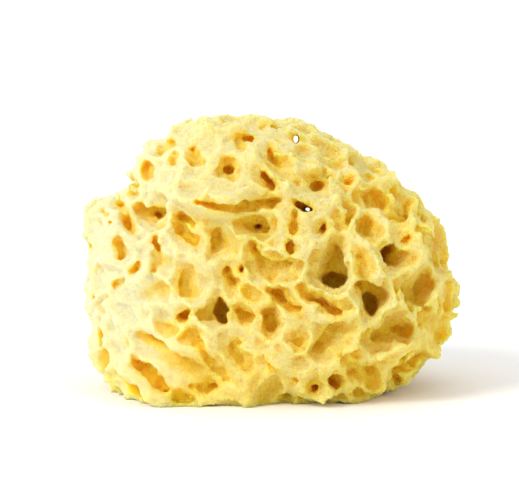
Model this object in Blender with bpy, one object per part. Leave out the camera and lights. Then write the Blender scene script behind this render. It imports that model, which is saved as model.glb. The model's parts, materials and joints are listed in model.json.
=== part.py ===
"""A honeycomb sea sponge, cut flat where it grew on the rock.

The body is one rounded mass. Its outline is the one seen from the front and its depth is an
estimate. Its skin is folded, dished into cells with a thin crest between two, and eaten away
by openings: funnels, slits and bowls. The openings of the front are placed one by one. Those of
the sides, back, top and base are scattered at the same density. Lengths are in millimetres until
the last steps.

Seen from the front, "across" runs to the right and "up" runs up, both from a point on the body's
middle axis that lies a little below the cut.
"""

import math
import random
from typing import NamedTuple

import bmesh
import bpy
import numpy as np
from mathutils import Matrix, Vector, noise
from mathutils.bvhtree import BVHTree
from mathutils.kdtree import KDTree

MM = 0.001
SEED = 11

# The body
HALF_DEPTH_FRONT = 52.0
HALF_DEPTH_BACK = 56.0
CENTRE_UP = 50.0
CUT_UP = 4.0
CUT_SNAP = 0.05
FULLNESS = 2.35
BALL_SUBDIVISIONS = 6

# The outline's own corners stay near the outline, and a smoother one shapes the rest
OUTLINE_STEPS = 720
OUTLINE_BLUR = 14
OUTLINE_BAND = 0.22

# Unevenness of the skin: how far it moves, and over what length
SKIN_LUMPS = ((1.3, 17.0), (0.6, 7.0))

# The eye that the front is seen from
EYE_ELEVATION = math.radians(6.0)
EYE_DISTANCE = 800.0
EYE_HEIGHT_ON_PICTURE = 62.4
EYE_ACROSS = -4.6

# The cells: the skin sinks into each, most at the rim of its opening, and rises to a crest between two
DISH_LEAST = 2.6
DISH_SHARE = 0.5
CREST_SHARPNESS = 1.8
SPOT_NEIGHBOURS = 40

# The hollows: shallow cells without an opening, between the others
HOLLOW_RADIUS = 4.4
HOLLOW_GAP = 4.4
HOLLOW_DEPTHS = (3.4, 5.6)
HOLLOW_HALF_LENGTHS = (0.5, 4.5)
BLADE_GRAIN = Vector((0.82, 0.0, -0.57))
BLADES_BELOW = 45.0

# The openings
RIM_SMOOTHING = 2
MOUTH_FLARE = 1.25
RIM_FLARE = 1.06
SIGHT_SHARE = 0.55
MOST_SKEW = 14.0
RISE = 7.0
TAPER = ((0.35, 0.9), (0.75, 0.6), (0.95, 0.2), (1.0, -0.3))

# The scattered openings, widest first: width, and how many places are tried
SCATTER = ((10.5, 300), (8.5, 600), (7.0, 900), (5.6, 1500), (4.4, 2200))
SCATTER_SPOTS = 2600
SCATTER_RIM_POINTS = 7
WALL = 2.0
FRONT_FACING = 0.30
BASE_CLEAR = 12.0
EDGE_FRONT = -15.0
EDGE_UP = 9.0

# The faceted solid
REMESH_VOXEL = 1.4
SMOOTHING_ROUNDS = 2
TRIANGLES = 9700

# The finish
CREAM = (0.86, 0.69, 0.30, 1.0)
ROUGHNESS = 0.9


class Opening(NamedTuple):
    """One opening of the front.

    rim is its edge as the eye sees it. deep is how far its end lies below the dished skin,
    start how far in it begins, floor the size of its end beside its rim, and drift how far
    the end lies to the side.
    """

    rim: list
    deep: float
    start: float = 0.0
    floor: float = 0.5
    drift: tuple = (0.0, 0.0)


class Fold(NamedTuple):
    """A crest of the front, or a valley where its height is negative.

    It fades over gentle on the left of its path, and over steep on the right.
    """

    path: list
    height: float
    gentle: float
    steep: float


class Swell(NamedTuple):
    """A broad lobe of the front, or a hollow where its height is negative."""

    across: float
    up: float
    reach: float
    height: float


class Cell(NamedTuple):
    """A dish of the skin. It is sunk by its depth at its spots, and rises towards the next cell."""

    spots: list
    depth: float


# The outline seen from the front, anticlockwise from the lower right
OUTLINE = [
    (34, -7), (44, 2), (48, 6), (53, 8), (51, 10), (57.5, 9), (60.5, 13), (65.5, 18), (65, 22), (67.5, 21),
    (71.5, 25), (71, 32), (74, 45), (71, 51), (72, 57), (70.5, 63), (68.5, 67), (64, 74), (57, 81),
    (54, 82), (51, 86), (48.5, 90), (46, 90.5), (45, 93.5), (41, 95), (36.5, 96), (35, 94), (33, 98),
    (30, 100.5), (26, 102.5), (17, 108), (8, 111), (4.5, 109), (-1.5, 110.5), (-10, 111), (-20.5, 112),
    (-28.5, 111.5), (-36.5, 108.5), (-40, 103), (-45, 101), (-49.5, 103), (-53, 97), (-53.5, 91),
    (-58, 90), (-55.5, 87), (-54.5, 85), (-59, 83.5), (-65, 79.5), (-72.5, 79), (-73, 67), (-71.5, 63),
    (-74, 58), (-73, 51), (-74.5, 43), (-72, 31), (-71, 26.5), (-73, 24.5), (-71, 19.5), (-68.5, 13),
    (-65, 7.5), (-63, 2), (-58, -5), (-40, -8), (0, -9),
]

SWELLS = [
    Swell(-20, 93, 20, 5.0),
    Swell(-8, 74, 12, -3.5),
    Swell(-24, 70, 12, 2.0),
    Swell(-62, 66, 13, 3.0),
    Swell(-44, 22, 20, 4.0),
    Swell(-8, 44, 15, -2.5),
    Swell(38, 44, 26, 5.0),
    Swell(14, 86, 12, 2.0),
    Swell(66, 60, 9, -4.0),
]

FOLDS = [
    # The edge of the upper lobe, and the valley under it
    Fold([(-35, 82), (-28, 79.5), (-21, 78), (-14, 78), (-11, 80)], 7.0, 12, 1.2),
    Fold([(-27, 75.5), (-18, 74), (-9, 74.5), (0, 78)], -4.0, 2.5, 5.5),
    # The frills of the left side
    Fold([(-62, 65), (-59, 68), (-59, 73), (-60, 77)], 3.0, 9, 1.5),
    Fold([(-53, 65), (-55.5, 68), (-57, 74), (-52.5, 78)], 3.0, 2.5, 2.0),
    Fold([(-55, 80.5), (-50, 77.5), (-43, 77)], 2.5, 6, 1.5),
    Fold([(-49, 48), (-46, 45), (-42, 44), (-38, 40.5)], 2.0, 9, 1.5),
    # The grooves of the lower left
    Fold([(-46, 31), (-37, 26.5), (-27, 19.5), (-21, 14)], -6.5, 1.3, 3.5),
    Fold([(-58, 15.5), (-51.5, 11), (-43.5, 7), (-35, 0.5), (-30, -3)], -6.5, 1.3, 3.0),
    # The blades of the lower left
    Fold([(-56.5, 16), (-48, 12.5), (-37.5, 4.5), (-30.5, 0), (-23.5, -3)], 4.0, 10, 1.8),
    Fold([(-66, 18.5), (-57, 12), (-50.5, 6.5), (-44, 2), (-39, 0)], 3.0, 3, 2.5),
    Fold([(-36.5, 28.5), (-30.5, 27), (-24.5, 21.5), (-19, 16.5), (-12, 10.5), (-7, 3), (-1, -2)], 3.5, 5, 2),
    Fold([(-19, 4.5), (-22, 9.5), (-28, 15), (-36, 18), (-40, 22.5), (-49, 22.5)], 3.0, 10, 1.8),
    # The lower right
    Fold([(1, -3), (10, 1), (14, 4.5), (16.5, 8), (22.5, 10), (27.5, 10.5)], 3.0, 9, 1.8),
    Fold([(29.5, 8), (34, 4.5), (38, 4.5), (43, 7), (47.5, 9)], 2.0, 4, 2.0),
    # The edge of the flap on the right
    Fold([(69, 49), (62.5, 54.5), (59, 58.5), (56.5, 66), (54, 74)], 4.5, 7, 1.8),
    Fold([(72, 50), (66, 56), (62, 60), (59.5, 67), (57, 75)], -4.0, 1.5, 5),
]

OPENINGS = [
    # The upper lobe
    Opening([(-30.5, 100), (-27, 97), (-26, 93), (-28.5, 91.5), (-33, 92.5), (-34.5, 96)], 6, drift=(1, 1)),
    Opening([(-11.5, 104), (-9, 105), (-6, 103.5), (-7.5, 102), (-10.5, 102)], 7),
    Opening([(-13.5, 104.5), (-11, 103.5), (-10, 100), (-11.5, 96.5), (-14, 100)], 2.5),
    Opening(
        [(-21.5, 92.5), (-17.5, 95.5), (-12.5, 94), (-11.5, 90.5),
         (-13.5, 86), (-17.5, 86), (-21.5, 88.5)],
        3, floor=0.65,
    ),
    Opening([(-19.5, 91.5), (-17, 92.5), (-14, 90.5), (-15.5, 88.5), (-18.5, 88.5)], 12, start=4),
    Opening([(-1.5, 101.5), (0.5, 99.5), (1.5, 96), (5, 92.5), (2.5, 91.5), (-1, 94), (-2, 98)], 9),
    Opening([(-5, 90.5), (-1, 88.5), (1.5, 85), (2.5, 82.5), (0, 82), (-3, 86)], 10),
    Opening([(-45, 101), (-38, 102), (-38, 100), (-42, 98.5), (-44.5, 96.5)], 4, drift=(0, -1)),
    Opening([(-51, 94), (-46.5, 92), (-46.5, 86), (-51, 88)], 2.5),
    # The hollow under the upper lobe
    Opening(
        [(-31, 78.5), (-24, 77.5), (-17, 77), (-10, 78), (-3, 79), (3, 79),
         (1, 76), (-6, 74), (-14, 73.5), (-22, 74.5), (-28, 76.5)],
        4, floor=0.7, drift=(0, 1),
    ),
    # The middle
    Opening(
        [(-12, 70), (-8, 71), (-4.5, 69.5), (1, 69), (0, 66.5), (-2, 65), (-7, 66), (-11.5, 66.5)],
        6, drift=(2, 0),
    ),
    Opening(
        [(-25.5, 67), (-24, 66), (-20.5, 68.5), (-17.5, 63.5),
         (-16, 61), (-16.5, 58), (-24, 58), (-24, 62.5)],
        8, drift=(-1, 1),
    ),
    Opening(
        [(-19, 51), (-18, 53), (-16, 51.5), (-14, 47.5), (-12.5, 45),
         (-15, 42), (-16, 44.5), (-18.5, 48)],
        8,
    ),
    Opening(
        [(-9.5, 62), (-7, 62), (-2, 55), (9, 53), (8.5, 51),
         (4.5, 48.5), (0, 45.5), (-3, 47), (-7, 56)],
        7, floor=0.55, drift=(-1, 0),
    ),
    Opening(
        [(7.5, 64), (9.5, 62.5), (11.5, 59), (10.5, 57), (8, 56.5), (6, 58), (5, 61)],
        7, drift=(-2, 0),
    ),
    Opening([(8.5, 74), (11, 73.5), (11.5, 68.5), (10.5, 64.5), (7.5, 64.5), (8, 69)], 3.5),
    Opening([(8, 79.5), (11.5, 78), (16, 76), (17, 74.5), (14, 73.5), (10.5, 74.5), (9, 76)], 14),
    Opening(
        [(-1, 42.5), (1, 44), (3.5, 42.5), (6, 39.5), (9, 37), (13, 35),
         (12, 33.5), (8.5, 33.5), (5.5, 36), (2.5, 39.5)],
        8, drift=(-1, 1),
    ),
    Opening(
        [(-20, 40.5), (-18.5, 37.5), (-16, 34), (-18, 33), (-17, 29.5),
         (-19, 28.5), (-22, 30.5), (-23, 34), (-22, 37.5)],
        18, start=5,
    ),
    Opening([(-31, 34.5), (-26.5, 36), (-22, 38.5), (-21.5, 34), (-22, 30), (-27.5, 29.5), (-30, 32)], 7),
    Opening(
        [(-13.5, 35), (-12, 36), (-9.5, 34), (-5.5, 33), (-7, 31), (-9, 29), (-11.5, 29), (-13.5, 31)],
        7, drift=(0, 1.5),
    ),
    Opening(
        [(-3.5, 34), (-0.5, 35), (2.5, 33.5), (4.5, 30), (4.5, 27.5),
         (1.5, 25.5), (-1.5, 25.5), (-4, 29.5)],
        9, drift=(-1, 1),
    ),
    Opening(
        [(-17.5, 23), (-14.5, 22), (-12.5, 19), (-10, 13), (-12.5, 12.5), (-16, 16.5), (-17.5, 19.5)],
        3,
    ),
    Opening([(8, 23), (10.5, 24), (13.5, 23), (13.5, 21), (11.5, 19.5), (9, 20.5)], 3.5),
    # The left side
    Opening(
        [(-54, 77), (-49.5, 76.5), (-44.5, 75.5), (-42, 74), (-42.5, 71),
         (-46, 69), (-49.5, 69.5), (-53.5, 72)],
        9, drift=(3, 0.5),
    ),
    Opening([(-46.5, 74), (-42, 74), (-42.5, 71.5), (-45.5, 71)], 14, start=6),
    Opening([(-39.5, 72), (-36.5, 74), (-31, 70), (-30.5, 67.5), (-34.5, 69)], 9),
    Opening(
        [(-40, 70), (-36, 70.5), (-32.5, 67.5), (-27.5, 62.5), (-29, 59.5), (-33, 62), (-37.5, 65.5)],
        7,
    ),
    Opening([(-47, 64), (-44.5, 63.5), (-43.5, 58), (-45.5, 57.5), (-47, 60.5)], 8),
    Opening([(-47.5, 57.5), (-43.5, 57.5), (-43, 53), (-45, 49.5), (-47.5, 50)], 3),
    Opening(
        [(-62.5, 63.5), (-59, 63.5), (-58, 59.5), (-57.5, 56), (-60, 54), (-62, 57.5)],
        5, drift=(-0.5, -1.5),
    ),
    Opening([(-60.5, 48), (-59, 47.5), (-59, 44.5), (-62.5, 43), (-64, 44.5)], 2.5),
    Opening(
        [(-34.5, 53), (-31, 52), (-30, 48), (-29, 43), (-29.5, 39.5),
         (-32.5, 39), (-37.5, 40.5), (-36.5, 46), (-36, 50)],
        8, drift=(-1.5, -1.5),
    ),
    Opening(
        [(-62, 77), (-59.5, 78), (-57, 74), (-56, 69.5), (-53.5, 65.5),
         (-55.5, 64.5), (-59, 68), (-59, 73)],
        6,
    ),
    Opening([(-72, 69.5), (-67.5, 68.5), (-68.5, 64.5), (-72, 65)], 2),
    # The lower edge
    Opening([(-37.5, 33), (-33, 35), (-32, 32.5), (-34.5, 29), (-37, 30)], 10),
    Opening([(-37, 24), (-35, 27), (-30.5, 27), (-27, 22.5), (-26, 18.5), (-30.5, 19.5), (-36, 21.5)], 4),
    Opening(
        [(-28.5, 19.5), (-25.5, 17.5), (-20.5, 13), (-15.5, 7.5), (-19, 5.5), (-23.5, 11), (-28, 15.5)],
        4,
    ),
    Opening([(-45.5, 30), (-39.5, 29), (-37.5, 27), (-38.5, 23.5), (-44.5, 24.5)], 2.5),
    Opening(
        [(-56, 16), (-53.5, 14.5), (-47, 12), (-42.5, 6.5), (-39.5, 2.5),
         (-43.5, 1.5), (-48, 5.5), (-54.5, 11)],
        5, drift=(0, 0.5),
    ),
    Opening([(-39, 2), (-36.5, 2.5), (-29.5, -1.5), (-39.5, -2)], 3),
    Opening([(-33.5, 4.5), (-27.5, 5.5), (-22, 5), (-25, 1.5), (-29.5, 2.5)], 2),
    Opening([(-59, 7.5), (-56, 6.5), (-51.5, 2.5), (-56.5, 1.5), (-59.5, 4.5)], 2),
    Opening([(23.5, 8), (27, 8.5), (27.5, 4), (25, 3), (23.5, 5.5)], 9),
    Opening([(-4, 5), (-1, 5), (1, 2.5), (-1.5, 1.5), (-3.5, 3)], 1.5),
    # The right side
    Opening(
        [(23, 27), (26, 29.5), (31, 29), (31, 26), (27, 23.5), (24.5, 19.5),
         (19.5, 16), (16.5, 16.5), (17.5, 20), (19.5, 23)],
        6, drift=(-2, 1),
    ),
    Opening(
        [(40, 25), (42, 26), (46, 31), (48, 33.5), (51.5, 33.5), (55.5, 30.5),
         (56.5, 26), (55, 21), (49.5, 21.5), (43.5, 21), (41, 20)],
        8, drift=(-3, -1),
    ),
    Opening([(30.5, 13), (36, 12.5), (41, 12), (41.5, 10), (39, 6), (34, 6.5), (30, 9)], 4, floor=0.6),
    Opening(
        [(55, 14.5), (60, 18), (62.5, 16.5), (59.5, 13), (54.5, 10), (48, 9.5), (47, 11), (51.5, 12.5)],
        5,
    ),
    Opening([(48, 9.5), (51, 9), (53, 5), (48.5, 4.5)], 6),
    Opening([(60, 32.5), (66, 33), (70.5, 31), (71.5, 26), (67.5, 21), (64, 23), (61, 27)], 5),
    Opening(
        [(20.5, 57), (22.5, 60.5), (25, 61.5), (28, 60), (30, 53), (31, 48),
         (30, 45), (25.5, 42.5), (21, 44.5), (18.5, 49), (19.5, 53)],
        13, drift=(0, -3), floor=0.7,
    ),
    Opening(
        [(20, 46.5), (23.5, 50), (28, 49), (31, 47.5), (29, 44), (25, 43), (21.5, 44)],
        21, start=10, floor=0.6,
    ),
    Opening(
        [(33.5, 45), (38, 46), (44, 43.5), (47, 39.5), (46, 36.5),
         (43, 34), (40.5, 31.5), (38, 32.5), (36.5, 37.5)],
        12, drift=(-1, -1), floor=0.7,
    ),
    Opening(
        [(36, 41), (38.5, 42), (42, 40), (43, 36.5), (42, 33.5), (40, 31.5), (38, 34), (36.5, 37.5)],
        20, start=8, floor=0.6,
    ),
    Opening(
        [(44, 56.5), (46, 60), (49, 61), (51, 59), (54, 57.5),
         (55.5, 55), (53.5, 52), (50, 51.5), (46, 53)],
        10, drift=(-3, 0),
    ),
    Opening(
        [(44.5, 56.5), (46, 60), (49.5, 61), (49.5, 58.5), (48.5, 55), (48, 52), (46, 53.5)],
        22, start=6, drift=(-3, 0),
    ),
    Opening(
        [(51.5, 45.5), (54, 47.5), (59.5, 49.5), (61.5, 52), (63, 51), (64.5, 46.5), (65.5, 43.5),
         (64, 39.5), (61, 35.5), (57.5, 36.5), (54, 39.5), (51.5, 42.5)],
        9, drift=(-4, -2),
    ),
    Opening(
        [(13.5, 41.5), (19.5, 40.5), (24.5, 37.5), (28, 36), (31, 34.5),
         (28, 32.5), (24.5, 32.5), (19.5, 36.5), (13.5, 38.5)],
        9, drift=(2, 0),
    ),
    Opening([(34.5, 58), (38, 57.5), (39.5, 51), (38.5, 47), (34.5, 48)], 2.5),
    Opening([(68, 40), (70.5, 47.5), (74, 47.5), (73, 40.5), (70.5, 32.5), (68.5, 36)], 4),
    Opening(
        [(59.5, 65.5), (63, 65.5), (68.5, 58.5), (71.5, 55), (69.5, 49),
         (65.5, 50), (62.5, 54.5), (59.5, 56.5)],
        5, floor=0.6,
    ),
    Opening([(51.5, 64), (55, 65.5), (56, 63), (54, 60.5), (52, 60.5)], 3),
    Opening([(12, 99), (14, 100), (16, 96), (15.5, 93), (14, 94)], 3),
    Opening([(15, 84), (17.5, 86), (21, 85.5), (21, 83), (18, 81), (15.5, 82.5)], 11, start=3),
    Opening([(15.5, 86.5), (17.5, 90), (22, 91.5), (23, 87.5), (22, 83), (20, 81), (15.5, 82)], 3),
    Opening([(36, 93), (38, 95.5), (45, 93), (45, 90.5), (40, 88.5), (35.5, 90.5)], 3),
    Opening(
        [(36, 81), (39.5, 83), (44, 82), (47, 78), (46.5, 73.5), (41, 74.5), (37, 77)],
        8, drift=(-2, 0),
    ),
    Opening([(44.5, 73), (49, 76.5), (54, 76.5), (54.5, 71.5), (53, 69.5), (48.5, 70.5)], 7, drift=(2, -2)),
    Opening([(29, 70), (29.5, 74), (31.5, 74.5), (33, 72), (33, 69.5), (31, 68.5)], 8),
    Opening([(33.5, 69), (37, 72), (41, 69), (41, 65.5), (38, 64), (35, 65.5)], 5.5, drift=(-1, -1)),
]


def clear_scene():
    """Removes every object of the scene."""
    for thing in list(bpy.data.objects):
        bpy.data.objects.remove(thing, do_unlink=True)


def outline_tables():
    """The outline's reach from the body's middle all the way round, as drawn and smoothed."""
    polar = sorted((math.atan2(up - CENTRE_UP, across) % math.tau, across, up) for across, up in OUTLINE)
    angles = [angle for angle, _, _ in polar]
    reaches = [math.hypot(up - CENTRE_UP, across) for _, across, up in polar]
    turn = np.linspace(0, math.tau, OUTLINE_STEPS, endpoint=False)
    drawn = np.interp(turn, angles, reaches, period=math.tau)
    shifts = range(-OUTLINE_BLUR, OUTLINE_BLUR + 1)
    smoothed = np.mean([np.roll(drawn, shift) for shift in shifts], axis=0)
    return turn, drawn, smoothed


def skin_points(directions):
    """Where the plain body's skin is, in directions from its middle."""
    turn, drawn, smoothed = outline_tables()
    across, forward, up = directions.T
    angle = np.arctan2(up, across) % math.tau
    at_outline = np.exp(-((forward / OUTLINE_BAND) ** 2))
    reach = np.interp(angle, turn, smoothed, period=math.tau)
    reach += at_outline * (np.interp(angle, turn, drawn, period=math.tau) - reach)
    half_depth = np.where(forward < 0, HALF_DEPTH_FRONT, HALF_DEPTH_BACK)
    fill = (np.hypot(across, up) ** FULLNESS + np.abs(forward) ** FULLNESS) ** (-1 / FULLNESS)
    points = np.stack([across * reach, forward * half_depth, up * reach], axis=1) * fill[:, None]
    return points + (0, 0, CENTRE_UP)


def fold_heights(spots, fold):
    """How far a fold raises the front at these spots, given as across and up."""
    nearest = np.full(len(spots), np.inf)
    side = np.zeros(len(spots))
    for first, second in zip(fold.path, fold.path[1:]):
        start, along = np.array(first), np.subtract(second, first)
        share = np.clip((spots - start) @ along / (along @ along), 0, 1)
        offset = spots - start - share[:, None] * along
        distance = np.hypot(offset[:, 0], offset[:, 1])
        cross = along[0] * offset[:, 1] - along[1] * offset[:, 0]
        side = np.where(distance < nearest, cross, side)
        nearest = np.minimum(nearest, distance)
    fade = np.where(side >= 0, fold.gentle, fold.steep)
    return fold.height * np.exp(-nearest / fade)


def front_heights(spots):
    """How far the lobes and the folds raise the front at these spots, given as across and up."""
    height = sum(fold_heights(spots, fold) for fold in FOLDS)
    for swell in SWELLS:
        squared = (spots[:, 0] - swell.across) ** 2 + (spots[:, 1] - swell.up) ** 2
        height = height + swell.height * np.exp(-squared / swell.reach**2)
    return height


def lumps_at(point):
    """The skin's unevenness at a point."""
    return sum(height * noise.noise(point / span) for height, span in SKIN_LUMPS)


def make_body():
    """The folded mass, before any opening."""
    bm = bmesh.new()
    bmesh.ops.create_icosphere(bm, subdivisions=BALL_SUBDIVISIONS, radius=1)
    directions = np.array([vert.co.normalized()[:] for vert in bm.verts])
    points = skin_points(directions)
    facing = np.clip((0.15 - directions[:, 1]) / 0.5, 0, 1)
    push = directions - (0, 1, 0) * facing[:, None]
    push /= np.linalg.norm(push, axis=1)[:, None]
    points += push * (front_heights(points[:, [0, 2]]) * facing)[:, None]
    for vert, point, direction in zip(bm.verts, points, directions):
        place = Vector(point)
        vert.co = place + Vector(direction) * lumps_at(place)
    mesh = bpy.data.meshes.new("body")
    bm.to_mesh(mesh)
    bm.free()
    return mesh


def eye_and_axes():
    """The eye, and the picture's sight line, across and up."""
    sight = Vector((0, math.cos(EYE_ELEVATION), -math.sin(EYE_ELEVATION)))
    up = Vector((0, math.sin(EYE_ELEVATION), math.cos(EYE_ELEVATION)))
    across = Vector((1, 0, 0))
    eye = across * EYE_ACROSS + up * EYE_HEIGHT_ON_PICTURE - sight * EYE_DISTANCE
    return eye, across, up


def smooth_loop(corners):
    """A closed curve through the corners, with points added between them."""
    count = len(corners)
    loop = []
    for index in range(count):
        before, start, end, after = (corners[(index + step) % count] for step in (-1, 0, 1, 2))
        for step in range(RIM_SMOOTHING):
            t = step / RIM_SMOOTHING
            loop.append(
                (start * 2 + (end - before) * t + (before * 2 - start * 5 + end * 4 - after) * t**2
                 + (start * 3 - before - end * 3 + after) * t**3) * 0.5
            )
    return loop


def make_cutter(name, rim, line, inward, begin, deep, floor, drift):
    """A tube through a rim: straight from outside the skin to its beginning, then tapering to its end."""
    middle = sum(rim, Vector()) / len(rim)
    stations = [(-line * RISE, MOUTH_FLARE), (Vector(), RIM_FLARE), (line * begin, 1.0)]
    for share, size in TAPER:
        stations.append((line * begin + (inward * deep + drift) * share, floor + (1 - floor) * size))
    bm = bmesh.new()
    loops = []
    for shift, size in stations:
        loops.append([bm.verts.new(middle + (spot - middle) * size + shift) for spot in rim])
    for upper, lower in zip(loops, loops[1:]):
        for side in range(len(rim)):
            after = (side + 1) % len(rim)
            bm.faces.new((upper[side], lower[side], lower[after], upper[after]))
    bm.faces.new(loops[0])
    bm.faces.new(loops[-1][::-1])
    if bm.calc_volume(signed=True) < 0:
        bmesh.ops.reverse_faces(bm, faces=bm.faces)
    mesh = bpy.data.meshes.new(name)
    bm.to_mesh(mesh)
    bm.free()
    return mesh


def dish_of(rim):
    """How far an opening dishes the skin: wide ones dish it more."""
    middle = sum(rim, Vector()) / len(rim)
    radius = sum((spot - middle).length for spot in rim) / len(rim)
    return DISH_LEAST + DISH_SHARE * radius


def front_cavities(skin):
    """The openings of the front, laid on the skin along the line of sight."""
    eye, across, up = eye_and_axes()
    for number, opening in enumerate(OPENINGS):
        targets = [across * right + up * high for right, high in opening.rim]
        middle = sum(targets, Vector()) / len(targets)
        line = (middle - eye).normalized()
        mouth, normal, _, depth = skin.ray_cast(eye, line)
        rim = []
        for target in smooth_loop(targets):
            sight = (target - eye).normalized()
            _, _, _, far = skin.ray_cast(eye, sight)
            far = depth if far is None else max(depth - MOST_SKEW, min(depth + MOST_SKEW, far))
            rim.append(eye + sight * far)
        sight_share = 1.0 if opening.start else SIGHT_SHARE
        inward = (line * sight_share - normal * (1 - sight_share)).normalized()
        drift = across * opening.drift[0] + up * opening.drift[1]
        begin = dish_of(rim) + opening.start
        cutter = make_cutter(
            f"front_{number}", rim, line, inward, begin, opening.deep, opening.floor, drift
        )
        yield cutter, Cell([] if opening.start else rim, dish_of(rim))


def scattered_directions(draw):
    """Directions spread evenly over every side, in a random order."""
    golden = math.pi * (3 - math.sqrt(5))
    directions = []
    for index in range(SCATTER_SPOTS):
        height = 1 - 2 * (index + 0.5) / SCATTER_SPOTS
        ring = math.sqrt(1 - height * height)
        directions.append(Vector((ring * math.cos(golden * index), ring * math.sin(golden * index), height)))
    draw.shuffle(directions)
    return directions


def scattered_cavities(skin, taken, draw):
    """The openings of every side that the front view doesn't show, widest first."""
    eye, _, _ = eye_and_axes()
    directions = scattered_directions(draw)
    centre = Vector((0, 0, CENTRE_UP))
    for width, tries in SCATTER:
        for direction in directions[:tries]:
            mouth, normal, _, _ = skin.ray_cast(centre, direction)
            length = width * draw.uniform(1.0, 1.9)
            radius = (length + width) / 4
            seen = normal.dot((eye - mouth).normalized()) > FRONT_FACING
            under = mouth.z < 0 and math.hypot(mouth.x, mouth.y) < BASE_CLEAR
            under = under or (mouth.z < EDGE_UP and mouth.y < EDGE_FRONT)
            crowded = any((mouth - other).length < radius + size + WALL for other, size in taken)
            if seen or under or crowded:
                continue
            taken.append((mouth, radius))
            wide = normal.cross(Vector((draw.gauss(0, 1), draw.gauss(0, 1), draw.gauss(0, 1)))).normalized()
            tall = normal.cross(wide)
            corners = []
            for index in range(SCATTER_RIM_POINTS):
                angle = math.tau * (index + draw.uniform(-0.25, 0.25)) / SCATTER_RIM_POINTS
                size = draw.uniform(0.8, 1.2) / 2
                corners.append(
                    mouth + wide * (math.cos(angle) * length * size) + tall * (math.sin(angle) * width * size)
                )
            rim = smooth_loop(corners)
            drift = wide * draw.uniform(-3, 3) + tall * draw.uniform(-3, 3)
            dish = dish_of(rim)
            deep = width * draw.uniform(0.7, 1.7)
            cutter = make_cutter(
                f"scattered_{len(taken)}", rim, -normal, -normal, dish, deep, draw.uniform(0.4, 0.8), drift
            )
            yield cutter, Cell(rim, dish)


def hollow_cells(skin, taken, draw):
    """The shallow cells that fill the skin between the openings. Those of the lower left run as blades."""
    centre = Vector((0, 0, CENTRE_UP))
    for direction in scattered_directions(draw):
        mouth, normal, _, _ = skin.ray_cast(centre, direction)
        if any((mouth - other).length < size + HOLLOW_GAP for other, size in taken):
            continue
        taken.append((mouth, HOLLOW_RADIUS))
        in_blades = mouth.x < 0 and mouth.y < 0 and mouth.z < BLADES_BELOW
        grain = BLADE_GRAIN if in_blades else Vector((draw.gauss(0, 1), draw.gauss(0, 1), draw.gauss(0, 1)))
        along = (grain - normal * grain.dot(normal)).normalized() * draw.uniform(*HOLLOW_HALF_LENGTHS)
        yield Cell([mouth - along, mouth, mouth + along], draw.uniform(*HOLLOW_DEPTHS))


def dish_skin(mesh, cells):
    """Sinks the skin into each cell, and leaves a crest where two meet."""
    tree = KDTree(sum(len(cell.spots) for cell in cells))
    owners = []
    for owner, cell in enumerate(cells):
        for spot in cell.spots:
            tree.insert(spot, len(owners))
            owners.append(owner)
    tree.balance()
    for vert in mesh.vertices:
        found = tree.find_n(vert.co, SPOT_NEIGHBOURS)
        nearest = found[0][2]
        owner = owners[found[0][1]]
        others = (distance for _, index, distance in found if owners[index] != owner)
        second = next(others, found[-1][2])
        to_crest = 2 * nearest / (nearest + second)
        vert.co -= vert.normal * (cells[owner].depth * (1 - to_crest**CREST_SHARPNESS))


def find_cells(body_mesh):
    """The cutter of every opening, and every cell, measured on the body before it is dished."""
    bm = bmesh.new()
    bm.from_mesh(body_mesh)
    skin = BVHTree.FromBMesh(bm)
    bm.free()
    draw = random.Random(SEED)
    cavities = list(front_cavities(skin))
    taken = []
    for _, cell in cavities:
        if cell.spots:
            middle = sum(cell.spots, Vector()) / len(cell.spots)
            taken.append((middle, max((spot - middle).length for spot in cell.spots)))
    cavities += scattered_cavities(skin, taken, draw)
    cutters = [cutter for cutter, _ in cavities]
    cells = [cell for _, cell in cavities] + list(hollow_cells(skin, taken, draw))
    return cutters, cells


def to_metres(mesh):
    """Lowers a mesh until the cut is at height nought, and changes it from millimetres to metres."""
    mesh.transform(Matrix.Scale(MM, 4) @ Matrix.Translation((0, 0, -CUT_UP)))
    mesh.update()


def add_helper(name, mesh, collection):
    """Links an object that only helps to shape the sponge."""
    helper = bpy.data.objects.new(name, mesh)
    helper.hide_render = True
    helper.display_type = "WIRE"
    collection.objects.link(helper)
    return helper


def evaluated_mesh(thing):
    """A copy of the object's mesh with its modifiers applied."""
    graph = bpy.context.evaluated_depsgraph_get()
    return bpy.data.meshes.new_from_object(thing.evaluated_get(graph), depsgraph=graph)


def carve(body, cutters):
    """Cuts the openings out of the body, and gives it an even, soft surface."""
    holes = body.modifiers.new("openings", "BOOLEAN")
    holes.operation = "DIFFERENCE"
    holes.operand_type = "COLLECTION"
    holes.collection = cutters
    holes.solver = "EXACT"
    even = body.modifiers.new("even", "REMESH")
    even.mode = "VOXEL"
    even.voxel_size = REMESH_VOXEL * MM
    soft = body.modifiers.new("soft", "SMOOTH")
    soft.factor = 0.5
    soft.iterations = SMOOTHING_ROUNDS
    return evaluated_mesh(body)


def facet(carved):
    """Thins the carved surface to the faces that a light solid needs."""
    fewer = carved.modifiers.new("facets", "DECIMATE")
    fewer.ratio = TRIANGLES / (2 * len(carved.data.polygons))
    fewer.use_collapse_triangulate = True
    return evaluated_mesh(carved)


def cut_base(bm):
    """Cuts the sponge flat at the height of the rock and closes the cut."""
    cut = bmesh.ops.bisect_plane(
        bm,
        geom=bm.verts[:] + bm.edges[:] + bm.faces[:],
        dist=CUT_SNAP * MM,
        plane_co=(0, 0, 0),
        plane_no=(0, 0, -1),
        use_snap_center=True,
        clear_outer=True,
    )
    rim = [piece for piece in cut["geom_cut"] if isinstance(piece, bmesh.types.BMEdge)]
    bmesh.ops.triangle_fill(bm, edges=rim, use_beauty=True, normal=(0, 0, -1))
    bmesh.ops.triangulate(bm, faces=bm.faces)


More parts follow.
